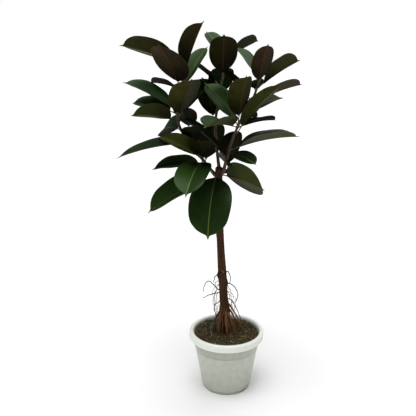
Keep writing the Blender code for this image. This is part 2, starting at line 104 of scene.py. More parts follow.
# One row a leaf. Its first eight values, height to roll, are the CAD leaf's.
# green: how green the upper face is, from near black; on some leaves it is set higher as painted sheen.
# red: how far the lower face goes from olive to wine brown. rib: the midrib, from yellow green to red.
LEAF_ROWS = {
    "left": (
        (1.80, -50, 58, 0.86, 1.15, 14, 44, 6, 0.11, 0.75, 0.8),
        (1.88, 172, 17, 1.06, 1.12, 14, 26, 34, 0.14, 0.55, 0.6),
        (1.50, -112, 42, 0.98, 1.20, 22, 8, -8, 0.27, 0.85, 0.9),
        (1.46, 42, 50, 0.86, 0.85, 14, 32, 12, 0.55, 0.60, 0.7),
        (1.48, 140, 6, 0.66, 0.90, 20, 28, 24, 0.11, 0.95, 0.8),
        (1.10, 166, 25, 0.98, 1.00, 18, 30, -14, 0.45, 0.50, 0.5),
        (0.94, -70, 43, 0.98, 1.10, 22, 22, 6, 0.18, 0.45, 1.0),
        (1.04, 158, 10, 0.80, 1.00, 24, 26, -26, 0.40, 0.30, 0.4),
        (0.98, 44, 34, 0.70, 0.85, 20, 30, 10, 0.27, 0.30, 0.4),
        (0.92, -152, 9, 0.78, 1.25, 24, 28, 36, 0.18, 0.20, 0.5),
        (0.74, 116, -7, 0.78, 1.30, 24, 16, -45, 0.16, 0.40, 0.4),
        (0.17, -95, 32, 0.80, 1.10, 20, 14, 0, 0.14, 0.20, 0.4),
        (0.51, 166, -14, 1.28, 0.94, 20, 18, -10, 0.14, 0.40, 0.4),
        (0.44, -92, 34, 0.70, 0.95, 20, 22, 10, 0.16, 0.15, 0.4),
        (0.19, -146, 30, 0.91, 1.08, 24, 18, 26, 0.20, 0.10, 0.3),
        (0.04, 160, -6, 1.00, 0.95, 24, 28, -22, 0.18, 0.30, 0.3),
        (1.16, 78, -30, 0.84, 1.00, 26, 22, 0, 0.14, 0.40, 0.4),
        (0.15, -106, -22, 1.04, 1.10, 56, 16, 0, 0.55, 0.15, 0.0),
    ),
    "middle": (
        (1.98, 124, 38, 0.72, 0.90, 12, 26, -12, 0.45, 0.50, 0.4),
        (2.04, 40, 20, 0.72, 1.10, 16, 26, -44, 0.11, 0.60, 0.6),
        (1.62, -88, 44, 1.00, 0.95, 22, 16, 0, 0.18, 0.65, 0.7),
        (1.50, 150, 32, 0.76, 0.95, 22, 28, 20, 0.14, 0.50, 0.5),
        (1.24, 82, 32, 0.94, 1.00, 26, 22, 0, 0.16, 0.50, 0.5),
        (1.16, 40, -20, 0.92, 1.00, 26, 22, 0, 0.14, 0.40, 0.4),
        (0.84, 108, 48, 0.94, 1.05, 20, 22, 0, 0.16, 0.40, 0.4),
        (0.92, 104, -54, 1.02, 1.15, 26, 20, 0, 0.16, 0.30, 0.4),
        (0.24, -77, -6, 0.66, 0.80, 10, 34, -46, 0.23, 0.15, 0.2),
    ),
    "right": (
        (1.64, 128, 40, 0.76, 0.90, 14, 34, 4, 0.20, 0.60, 0.6),
        (1.54, -84, 42, 0.94, 0.68, 20, 14, 0, 0.16, 0.90, 1.0),
        (1.52, 28, 27, 0.86, 1.30, 16, 30, -42, 0.23, 0.55, 0.6),
        (1.44, 90, 10, 0.72, 1.00, 24, 24, 0, 0.16, 0.50, 0.5),
        (1.28, 148, 38, 0.76, 0.90, 20, 32, 10, 0.29, 0.50, 0.5),
        (1.22, 24, 17, 0.98, 1.10, 20, 32, -14, 0.32, 0.85, 0.9),
        (1.00, 42, 15, 0.94, 1.00, 22, 28, 12, 0.27, 0.75, 0.7),
        (0.84, 138, 42, 0.92, 1.00, 24, 18, -14, 0.95, 0.30, 0.4),
        (0.88, -83, 52, 0.96, 1.00, 20, 36, 14, 0.20, 0.50, 0.9),
        (0.70, -24, 48, 1.05, 0.66, 20, 34, -36, 0.23, 0.30, 0.5),
        (0.80, 36, 4, 0.80, 0.95, 22, 28, -10, 0.23, 0.40, 0.4),
        (0.80, -122, 6, 0.98, 1.15, 24, 36, 4, 0.50, 0.10, 0.2),
        (0.80, 104, -52, 0.92, 0.88, 24, 22, 0, 0.14, 0.30, 0.4),
        (0.38, 4, 10, 1.14, 1.20, 24, 28, -4, 0.32, 0.25, 0.3),
        (0.24, -172, 42, 0.95, 0.75, 12, 34, -16, 0.25, 0.20, 0.3),
        (0.32, -46, -11, 0.60, 1.05, 24, 18, 18, 0.11, 0.30, 0.3),
    ),
    "trunk": (
        (-0.12, -47, -5, 0.95, 1.40, 20, 14, -58, 0.23, 0.05, 0.6),
        (-0.02, -106, -58, 1.20, 1.22, 48, 12, 0, 0.29, 0.10, 0.0),
        (-0.18, 176, -29, 1.30, 1.10, 24, 26, -24, 0.60, 0.30, 0.3),
        (-0.14, 66, -14, 1.00, 1.05, 30, 22, 0, 0.16, 0.30, 0.3),
    ),
}
# Numbers of the leaves inside the crown and at its back: painted darker than the rest, as shade, and duller.
INNER_LEAVES = {
    "left": (9, 12, 14, 17),
    "middle": (4, 5, 6, 7, 8),
    "right": (4, 5, 11, 13, 15),
    "trunk": (4,),
}
Leaf = namedtuple(
    "Leaf", "name stem inner height azimuth elevation size breadth bend fold roll green red rib")
LEAVES = [Leaf(f"leaf_{stem}_{number:02d}", stem, number in INNER_LEAVES[stem], *row)
          for stem, rows in LEAF_ROWS.items() for number, row in enumerate(rows, 1)]

# How far along the blade, and its half-width there as a share of the widest.
OUTLINE = ((0.00, 0.04), (0.04, 0.34), (0.15, 0.74), (0.32, 0.97), (0.52, 1.00), (0.72, 0.88), (0.84, 0.62),
           (0.90, 0.36), (0.935, 0.11), (0.965, 0.05), (1.00, 0.015))
# One row a prop root: azimuth, the height it leaves the trunk at, and how far out it lands.
PROP_ROOTS = ((-125, 0.150, 0.055), (-88, 0.125, 0.036), (-48, 0.120, 0.052), (-4, 0.160, 0.070),
              (31, 0.135, 0.054), (76, 0.120, 0.050), (132, 0.130, 0.054), (172, 0.125, 0.052))
# One row an aerial root: its start (azimuth, height), then (reach, azimuth, height) of points along it.
AERIAL_ROOTS = (
    ((-96, 0.270), ((0.030, -150, 0.256), (0.036, -158, 0.240), (0.038, -163, 0.225))),
    ((178, 0.190), ((0.028, 184, 0.200), (0.042, 188, 0.220), (0.054, 189, 0.230),
                    (0.066, 188, 0.226), (0.076, 186, 0.208), (0.080, 185, 0.184))),
    ((200, 0.182), ((0.040, 196, 0.178), (0.064, 193, 0.172), (0.086, 192, 0.162))),
    ((214, 0.150), ((0.028, 212, 0.142), (0.040, 206, 0.136), (0.046, 203, 0.118),
                    (0.043, 204, 0.096), (0.038, 206, 0.080))),
    ((-30, 0.268), ((0.024, -14, 0.270), (0.031, -8, 0.250), (0.032, -6, 0.232),
                    (0.025, -12, 0.216))),
    ((-40, 0.224), ((0.032, -26, 0.222), (0.050, -18, 0.206), (0.058, -14, 0.180),
                    (0.054, -16, 0.156), (0.042, -22, 0.140))),
    ((8, 0.150), ((0.030, 6, 0.144), (0.042, 2, 0.120), (0.054, 0, 0.090), (0.064, -2, 0.056))),
)


# ---- The CAD part's own lines, repeated so that every piece lies where its node does ----
def direction(azimuth, elevation):
    a = math.radians(azimuth)
    e = math.radians(elevation)
    return Vector((math.cos(a) * math.cos(e), math.sin(a) * math.cos(e), math.sin(e)))


def inner_radius(z):
    share = (z - FOOT_HEIGHT) / (COLLAR_FOOT - FOOT_HEIGHT)
    if share <= 1.0:
        return BODY_FOOT_RADIUS - WALL + BODY_TAPER * share
    above = (z - COLLAR_FOOT) / (POT_HEIGHT - LIP_WIDTH / 2 - COLLAR_FOOT)
    narrow = BODY_TOP_RADIUS - WALL
    return narrow + (OPENING_RADIUS - narrow) * above


def soil_top(radius):
    share = min(1.0, radius / OPENING_RADIUS)
    return SOIL_EDGE + MOUND * (1 - share) ** 1.5


def arc(centre, radius, start, end, count):
    turns = [math.radians(start + (end - start) * i / count) for i in range(count + 1)]
    return [(centre[0] + radius * math.cos(t), centre[1] + radius * math.sin(t)) for t in turns]


def smooth_path(points, spans):
    """Points read from a smooth curve through the given ones."""
    ends = [points[0] * 2 - points[1], *points, points[-1] * 2 - points[-2]]
    found = []
    for before, start, end, after in zip(ends, ends[1:], ends[2:], ends[3:]):
        for i in range(spans):
            t = i / spans
            found.append(0.5 * (2 * start + (end - before) * t
                                + (2 * before - 5 * start + 4 * end - after) * t ** 2
                                + (3 * start - before - 3 * end + after) * t ** 3))
    return [*found, points[-1]]


def trunk_axis(height):
    share = max(0.0, height - MOUND) / (TRUNK_HEIGHT - MOUND)
    return Vector((TRUNK_LEAN * math.sin(math.pi / 2 * min(1.0, share)), 0.0, SOIL_EDGE + height))


def trunk_radius(height):
    share = min(1.0, max(0.0, height / TRUNK_HEIGHT))
    return TRUNK_TOP_RADIUS + (TRUNK_BASE_RADIUS - TRUNK_TOP_RADIUS) * (1 - share) ** 1.6


def seat(parent_point, parent_way, parent_radius, way, radius):
    out = (way - parent_way * way.dot(parent_way)).normalized()
    cap = radius * math.sqrt(max(0.0, 1 - way.dot(out) ** 2))
    return parent_point + out * (parent_radius + GAP + cap)


def stem_path(name):
    up = Vector((0, 0, 1))
    fork = trunk_axis(TRUNK_HEIGHT)
    knots = [fork + Vector(point) * LEAF_LENGTH for point in STEMS[name]]
    root = fork + up * STEM_SEAT[name]
    way = (knots[0] - root).normalized()
    start = seat(root, up, TRUNK_TOP_RADIUS, way, STEM_RADIUS)
    if name == "middle":
        way = up
        start = root + up * GAP
    return [start, *smooth_path([start + way * STEM_RADIUS, *knots], 3)]


def stem_radii(count):
    return [STEM_RADIUS * (1.0 - STEM_TAPER * i / (count - 1)) for i in range(count)]


def on_stem(name, height):
    if name == "trunk":
        above = TRUNK_HEIGHT + height * LEAF_LENGTH
        return trunk_axis(above), Vector((0, 0, 1)), trunk_radius(above)
    points = stem_path(name)
    radii = stem_radii(len(points))
    z = trunk_axis(TRUNK_HEIGHT).z + height * LEAF_LENGTH
    for low, high, r_low, r_high in zip(points, points[1:], radii, radii[1:]):
        if low.z <= z <= high.z:
            share = (z - low.z) / (high.z - low.z)
            return low.lerp(high, share), (high - low).normalized(), r_low + (r_high - r_low) * share
    return points[-1], (points[-1] - points[-2]).normalized(), radii[-1]


# mathutils seeds noise_vector from the clock unless it is told a seed. With this one the thin roots
# come out the same each run.
NOISE_SEED = 1795128995


# ---- Materials ----
VEIN_SPACING = 0.0078
VEIN_SLANT = 0.42


class Tree:
    """One material and short ways to add its nodes."""

    def __init__(self, name, gloss, tint=(1.0, 1.0, 1.0, 1.0)):
        self.material = bpy.data.materials.new(name)
        self.material.use_nodes = True
        self.nodes = self.material.node_tree.nodes
        self.links = self.material.node_tree.links
        self.shader = self.nodes["Principled BSDF"]
        self.shader.inputs["Specular IOR Level"].default_value = gloss
        self.shader.inputs["Specular Tint"].default_value = tint
        self.where = self.nodes.new("ShaderNodeTexCoord").outputs["Object"]

    def feed(self, socket, value):
        if isinstance(value, bpy.types.NodeSocket):
            self.links.new(value, socket)
        elif isinstance(value, tuple) and len(value) == 3 and socket.type == "RGBA":
            socket.default_value = (*value, 1.0)
        else:
            socket.default_value = value

    def finish(self, colour, rough, normal=None):
        """The material with this surface."""
        self.feed(self.shader.inputs["Base Color"], colour)
        self.feed(self.shader.inputs["Roughness"], rough)
        if normal:
            self.feed(self.shader.inputs["Normal"], normal)
        return self.material

    def math(self, operation, *values):
        node = self.nodes.new("ShaderNodeMath")
        node.operation = operation
        for socket, value in zip(node.inputs, values):
            self.feed(socket, value)
        return node.outputs[0]

    def times(self, a, b):
        return self.math("MULTIPLY", a, b)

    def ranged(self, value, swing, base):
        """Base plus value times swing."""
        return self.math("ADD", self.times(value, swing), base)

    def span(self, value, low, high, bottom=0.0, top=1.0):
        """Value from low to high, eased into bottom to top."""
        node = self.nodes.new("ShaderNodeMapRange")
        node.interpolation_type = "SMOOTHSTEP"
        for socket, given in zip(node.inputs, (value, low, high, bottom, top)):
            self.feed(socket, given)
        return node.outputs[0]

    def mix(self, share, a, b):
        node = self.nodes.new("ShaderNodeMix")
        node.data_type = "RGBA"
        self.feed(node.inputs["Factor"], share)
        self.feed(node.inputs[6], a)
        self.feed(node.inputs[7], b)
        return node.outputs[2]

    def paint(self, under, mask, share, colour):
        """The colour laid over the one under it where the mask is, at that share of it."""
        return self.mix(self.times(mask, share), under, colour)

    def noise(self, scale, detail=3.0, rough=0.5, where=None):
        node = self.nodes.new("ShaderNodeTexNoise")
        self.feed(node.inputs["Vector"], where or self.where)
        self.feed(node.inputs["Scale"], scale)
        self.feed(node.inputs["Detail"], detail)
        self.feed(node.inputs["Roughness"], rough)
        return node.outputs[0]

    def cells(self, scale, where=None):
        node = self.nodes.new("ShaderNodeTexVoronoi")
        self.feed(node.inputs["Vector"], where or self.where)
        self.feed(node.inputs["Scale"], scale)
        return node.outputs[0]

    def stretch(self, scale):
        """Coordinates stretched or squeezed along each axis."""
        node = self.nodes.new("ShaderNodeMapping")
        self.feed(node.inputs["Vector"], self.where)
        node.inputs["Scale"].default_value = scale
        return node.outputs[0]

    def parts(self, name):
        """The three numbers of a vertex attribute."""
        node = self.nodes.new("ShaderNodeAttribute")
        node.attribute_name = name
        split = self.nodes.new("ShaderNodeSeparateXYZ")
        self.links.new(node.outputs["Vector"], split.inputs[0])
        return tuple(split.outputs)

    def bump(self, height, distance, strength, under=None):
        node = self.nodes.new("ShaderNodeBump")
        node.inputs["Strength"].default_value = strength
        node.inputs["Distance"].default_value = distance
        self.feed(node.inputs["Height"], height)
        if under:
            self.links.new(under, node.inputs["Normal"])
        return node.outputs[0]


def blade_lines(t):
    """(midrib, side veins, margin) of a leaf, each from 0 to 1, at a point of the blade."""
    along, across, share = t.parts("blade")
    far = t.math("ABSOLUTE", across)
    rib = t.span(far, 0.0028, 0.0009)
    steps = t.math("DIVIDE", t.math("ADD", along, t.times(far, VEIN_SLANT)), VEIN_SPACING)
    wander = t.times(t.noise(60, 2), 0.35)
    phase = t.math("PINGPONG", t.math("ADD", steps, wander), 0.5)
    outward = t.math("ABSOLUTE", share)
    veins = t.times(t.span(phase, 0.10, 0.0), t.span(outward, 1.0, 0.75))
    margin = t.span(outward, 0.975, 1.0)
    return rib, veins, margin


def paint_stalk_shade(t, colour):
    """Painted shade: the blade gets darker towards its stalk and along one side of the midrib."""
    along, _, share = t.parts("blade")
    base = t.span(t.math("ADD", along, t.times(t.noise(18, 3), 0.05)), 0.130, 0.020)
    side = t.span(share, 0.30, -0.25)
    colour = t.paint(colour, base, 0.62, (0.0030, 0.0040, 0.0018))
    return t.paint(colour, side, 0.30, (0.0060, 0.0070, 0.0030))


def leaf_upper(name, gloss):
    """Thick glossy blade, from near black to deep green, with a paler midrib and painted shade."""
    t = Tree(name, gloss, (0.70, 1.0, 0.66, 1.0))
    green, _, redness = t.parts("tone")
    rib, veins, margin = blade_lines(t)
    blade = t.mix(green, (0.0034, 0.0098, 0.0020), (0.028, 0.078, 0.0075))
    blotch = t.span(t.noise(26, 4, 0.6), 0.35, 0.70)
    blade = t.paint(blade, blotch, 0.40, (0.024, 0.046, 0.008))
    blade = t.paint(blade, veins, 0.20, (0.046, 0.078, 0.020))
    blade = t.paint(blade, margin, 0.5, (0.075, 0.085, 0.022))
    rib_colour = t.mix(redness, (0.190, 0.270, 0.045), (0.120, 0.055, 0.022))
    blade = t.paint(blade, rib, 0.75, rib_colour)
    dust = t.span(t.noise(900, 3, 0.7), 0.55, 0.80)
    blade = t.paint(blade, dust, 0.07, (0.09, 0.12, 0.06))
    blade = paint_stalk_shade(t, blade)
    # Inner leaves: painted shade, darker all over, and rougher.
    age, _, _ = t.parts("age")
    blade = t.paint(blade, age, 0.72, (0.0020, 0.0032, 0.0014))
    rough = t.ranged(t.noise(90, 4, 0.6), 0.16, t.math("MULTIPLY_ADD", age, 0.50, 0.32))
    grain = t.bump(t.cells(1400), 0.00006, 0.5)
    return t.finish(blade, rough, t.bump(veins, 0.00025, 0.7, grain))


def leaf_lower(name, gloss):
    """Matt underside, from olive to wine brown, with a coloured midrib, raised side veins and painted shade.
    """
    t = Tree(name, gloss, (0.90, 1.0, 0.66, 1.0))
    _, red, redness = t.parts("tone")
    rib, veins, margin = blade_lines(t)
    blade = t.mix(red, (0.030, 0.040, 0.0040), (0.018, 0.0075, 0.0040))
    blotch = t.span(t.noise(30, 4, 0.6), 0.35, 0.70)
    blade = t.paint(blade, blotch, 0.40, t.mix(red, (0.060, 0.074, 0.010), (0.042, 0.024, 0.009)))
    blade = t.paint(blade, veins, 0.28, t.mix(red, (0.090, 0.092, 0.028), (0.090, 0.050, 0.026)))
    blade = t.paint(blade, margin, 0.5, (0.085, 0.080, 0.025))
    rib_colour = t.mix(redness, (0.120, 0.130, 0.030), (0.105, 0.022, 0.012))
    blade = t.paint(blade, rib, 0.60, rib_colour)
    blade = paint_stalk_shade(t, blade)
    # Inner leaves: painted shade, darker all over.
    age, _, _ = t.parts("age")
    blade = t.paint(blade, age, 0.80, (0.0030, 0.0024, 0.0012))
    rough = t.ranged(t.noise(120, 4, 0.6), 0.18, 0.46)
    grain = t.bump(t.cells(900), 0.00008, 0.5)
    return t.finish(blade, rough, t.bump(veins, 0.0003, 0.8, grain))


def leaf_stalk():
    """Fleshy leaf stalk, green to red brown, with fine lengthwise lines."""
    t = Tree("leaf_stalk", 0.40)
    _, _, redness = t.parts("tone")
    colour = t.mix(redness, (0.075, 0.085, 0.025), (0.095, 0.040, 0.022))
    colour = t.paint(colour, t.noise(300, 4, 0.6), 0.5, (0.045, 0.040, 0.018))
    rough = t.ranged(t.noise(200, 3), 0.2, 0.38)
    return t.finish(colour, rough, t.bump(t.noise(700, 3), 0.0003, 0.5))


def bark():
    """Red brown bark with vertical fissures, grey patches and pale pores."""
    t = Tree("bark", 0.14)
    tall = t.stretch((1.0, 1.0, 0.13))
    streaks = t.noise(230, 6, 0.65, tall)
    colour = t.mix(t.span(streaks, 0.34, 0.66), (0.024, 0.0085, 0.0035), (0.090, 0.034, 0.0125))
    patches = t.span(t.noise(34, 4, 0.6), 0.50, 0.72)
    colour = t.paint(colour, patches, 0.32, (0.080, 0.044, 0.024))
    rings = t.span(t.noise(150, 3, 0.5, t.stretch((0.16, 0.16, 1.0))), 0.60, 0.68)
    colour = t.paint(colour, rings, 0.40, (0.030, 0.015, 0.009))
    pores = t.span(t.cells(150, where=t.stretch((0.55, 0.55, 1.6))), 0.16, 0.08)
    colour = t.paint(colour, pores, 0.50, (0.190, 0.115, 0.068))
    near_soil, root, scar = t.parts("bark")
    colour = t.paint(colour, root, 0.80, (0.270, 0.125, 0.048))
    colour = t.paint(colour, scar, 0.70, (0.260, 0.185, 0.125))
    # Darker at the trunk's foot and at the prop roots' ends, where they meet the soil.
    colour = t.paint(colour, near_soil, 0.55, (0.030, 0.019, 0.012))
    rough = t.ranged(streaks, 0.25, 0.62)
    ridges = t.bump(streaks, 0.0016, 0.8)
    return t.finish(colour, rough, t.bump(pores, 0.0006, 0.6, ridges))


def young_bark():
    """Stem bark: brown at the foot of a stem, green and smoother towards its tip."""
    t = Tree("young_bark", 0.35)
    youth, bud, _ = t.parts("bark")
    streaks = t.noise(420, 5, 0.6, t.stretch((1.0, 1.0, 0.2)))
    old = t.mix(streaks, (0.055, 0.030, 0.016), (0.120, 0.072, 0.040))
    fresh = t.mix(streaks, (0.040, 0.052, 0.016), (0.075, 0.090, 0.030))
    colour = t.mix(youth, old, fresh)
    colour = t.mix(bud, colour, t.mix(streaks, (0.080, 0.065, 0.020), (0.130, 0.050, 0.028)))
    pores = t.span(t.cells(420), 0.20, 0.08)
    colour = t.paint(colour, pores, 0.35, (0.200, 0.150, 0.100))
    rough = t.ranged(streaks, 0.3, 0.45)
    return t.finish(colour, rough, t.bump(streaks, 0.0006, 0.6))


def dry_root():
    """Dried aerial root: dark, dull and fibrous."""
    t = Tree("dry_root", 0.25)
    fibres = t.noise(650, 5, 0.7)
    colour = t.mix(t.span(fibres, 0.35, 0.65), (0.010, 0.006, 0.004), (0.052, 0.029, 0.017))
    rough = t.ranged(fibres, 0.25, 0.65)
    return t.finish(colour, rough, t.bump(fibres, 0.0006, 0.9))


def potting_soil():
    """Dark peat with paler crumbs and fibres, and patches of painted shadow."""
    t = Tree("potting_soil", 0.22)
    crumb, pale, _ = t.parts("crumb")
    grit = t.noise(420, 6, 0.7)
    colour = t.mix(t.span(grit, 0.34, 0.66), (0.006, 0.0045, 0.003), (0.100, 0.074, 0.038))
    # Painted shadow in near-black patches, as among clods.
    shade_patches = t.span(t.noise(95, 4, 0.6), 0.56, 0.44)
    colour = t.paint(colour, shade_patches, 0.80, (0.0040, 0.0032, 0.0022))
    colour = t.paint(colour, crumb, 0.90, (0.230, 0.165, 0.080))
    ochre = t.span(t.noise(70, 4, 0.65), 0.56, 0.70)
    colour = t.paint(colour, ochre, 0.60, (0.175, 0.112, 0.048))
    olive = t.span(t.noise(120, 3, 0.6), 0.52, 0.64)
    colour = t.paint(colour, olive, 0.55, (0.082, 0.080, 0.034))
    colour = t.mix(pale, colour, (0.300, 0.250, 0.180))
    specks = t.span(t.cells(520), 0.16, 0.06)
    colour = t.paint(colour, specks, 0.35, (0.200, 0.165, 0.120))
    rough = t.ranged(grit, 0.2, 0.78)
    return t.finish(colour, rough, t.bump(grit, 0.0015, 0.9))


def moss():
    """Grey green lichen and moss."""
    t = Tree("moss", 0.2)
    tufts = t.noise(700, 5, 0.7)
    colour = t.mix(tufts, (0.045, 0.075, 0.045), (0.170, 0.215, 0.140))
    rough = t.ranged(tufts, 0.2, 0.75)
    return t.finish(colour, rough, t.bump(tufts, 0.001, 1.0))


def seedling():
    """Fresh green of a tiny seedling."""
    t = Tree("seedling", 0.4)
    fleck = t.noise(900, 3)
    colour = t.mix(fleck, (0.110, 0.230, 0.035), (0.230, 0.400, 0.080))
    rough = t.ranged(fleck, 0.2, 0.40)
    return t.finish(colour, rough, t.bump(fleck, 0.0003, 0.5))


def moulded_plastic():
    """Pale mint white plastic: a fine mould grain, faint flow marks, scuffs, soil stains inside, painted
    shade on collar and body, and painted shadow lines.
    """
    t = Tree("moulded_plastic", 0.45)
    stain, low, edge = t.parts("wear")
    cloud = t.noise(14, 4, 0.55)
    colour = t.mix(cloud, (0.885, 0.935, 0.850), (0.930, 0.975, 0.900))
    flow = t.noise(60, 3, 0.5, t.stretch((1.0, 1.0, 0.12)))
    colour = t.paint(colour, t.span(flow, 0.45, 0.75), 0.10, (0.560, 0.600, 0.530))
    # Painted shade on the collar and body.
    colour = t.paint(colour, low, 0.78, (0.420, 0.440, 0.340))
    # Painted shadow lines under the lip and at the collar's foot.
    colour = t.paint(colour, edge, 0.92, (0.100, 0.105, 0.078))
    # Blotches of dirt laid only where the painted shade is, so they also deepen that painted shade.
    dirt_and_shade = t.times(t.span(t.noise(45, 5, 0.65), 0.42, 0.75), low)
    colour = t.paint(colour, dirt_and_shade, 0.45, (0.400, 0.380, 0.310))
    splash = t.times(t.span(t.noise(120, 5, 0.7), 0.35, 0.60), stain)
    colour = t.mix(splash, colour, (0.160, 0.130, 0.095))
    specks = t.span(t.cells(170), 0.060, 0.035)
    colour = t.paint(colour, specks, 0.25, (0.300, 0.270, 0.210))
    scuffs = t.span(t.noise(260, 5, 0.8, t.stretch((0.35, 0.35, 1.0))), 0.60, 0.80)
    rough = t.ranged(cloud, 0.10, t.math("MULTIPLY_ADD", scuffs, 0.16, 0.34))
    grain = t.bump(t.noise(2200, 2), 0.00005, 0.5)
    return t.finish(colour, rough, t.bump(scuffs, 0.00008, 0.6, grain))


def floor_finish():
    t = Tree("floor_finish", 0.2)
    cloud = t.noise(3.0, 3)
    return t.finish(t.mix(cloud, (0.86, 0.86, 0.86), (0.88, 0.88, 0.88)), 0.85)


# ---- Mesh helpers ----
SHARP_ANGLE = 60


def add_piece(name, mesh, materials, replaced):
    """Puts a mesh in the scene as a piece of the object that stands for the named CAD nodes."""
    made = bpy.data.objects.new(name, mesh)
    bpy.context.scene.collection.objects.link(made)
    for finish in materials:
        mesh.materials.append(finish)
    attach(made, "root")
    if replaced:
        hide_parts(*replaced)
    return made


def mesh_of(name, points, faces):
    mesh = bpy.data.meshes.new(name)
    mesh.from_pydata([tuple(map(float, p)) for p in points], [], faces)
    mesh.validate()
    mesh.shade_smooth()
    mesh.set_sharp_from_angle(angle=math.radians(SHARP_ANGLE))
    return mesh


def write_attribute(mesh, name, values):
    held = mesh.attributes.new(name, "FLOAT_VECTOR", "POINT")
    held.data.foreach_set("vector", np.asarray(values, np.float32).ravel())


def facing_out(mesh):
    work = bmesh.new()
    work.from_mesh(mesh)
    bmesh.ops.recalc_face_normals(work, faces=work.faces)
    work.to_mesh(mesh)
    work.free()


def rings_to_faces(rings, sides, start=0):
    """Quads of a tube whose rings of points follow one another, and its two end faces."""
    faces = []
    for i in range(rings - 1):
        low = start + i * sides
        for j in range(sides):
            k = (j + 1) % sides
            faces.append((low + j, low + k, low + sides + k, low + sides + j))
    faces.append(tuple(start + j for j in reversed(range(sides))))
    faces.append(tuple(start + (rings - 1) * sides + j for j in range(sides)))
    return faces


def tube_rings(points, radii, sides, shape=None):
    """Rings of points round a path, turned as little as possible from one to the next."""
    ways = [(b - a).normalized() for a, b in zip(points, points[1:])]
    ways = [ways[0], *((a + b).normalized() for a, b in zip(ways, ways[1:])), ways[-1]]
    side = ways[0].orthogonal().normalized()
    rings = []
    for i, (point, way, radius) in enumerate(zip(points, ways, radii)):
        side = (side - way * side.dot(way)).normalized()
        other = way.cross(side)
        for j in range(sides):
            a = 2 * math.pi * j / sides
            out = side * math.cos(a) + other * math.sin(a)
            reach = radius if shape is None else shape(i, out, radius)
            rings.append(point + out * reach)
    return rings


def tube(line, radii, sides, shape=None):
    """(points, faces) of a closed tube along a line."""
    return tube_rings(line, radii, sides, shape), rings_to_faces(len(line), sides)


def circle(radius, height, steps):
    turns = [2 * math.pi * i / steps for i in range(steps)]
    return [(radius * math.cos(a), radius * math.sin(a), height) for a in turns]


def joined(name, parts):
    """One mesh from (points, faces) parts."""
    points = []
    faces = []
    for some_points, some_faces in parts:
        base = len(points)
        points += some_points
        faces += [tuple(base + i for i in face) for face in some_faces]
    return mesh_of(name, points, faces)


def add_joined(name, parts, finish, slot, replaced=(), **marks):
    """A piece made of (points, faces) parts, with a vertex attribute for each of the marks."""
    mesh = joined(name, parts)
    for attribute, values in marks.items():
        write_attribute(mesh, attribute, values)
    add_piece(name, mesh, [finish], replaced)


# ---- Pot ----
POT_STEPS = 144


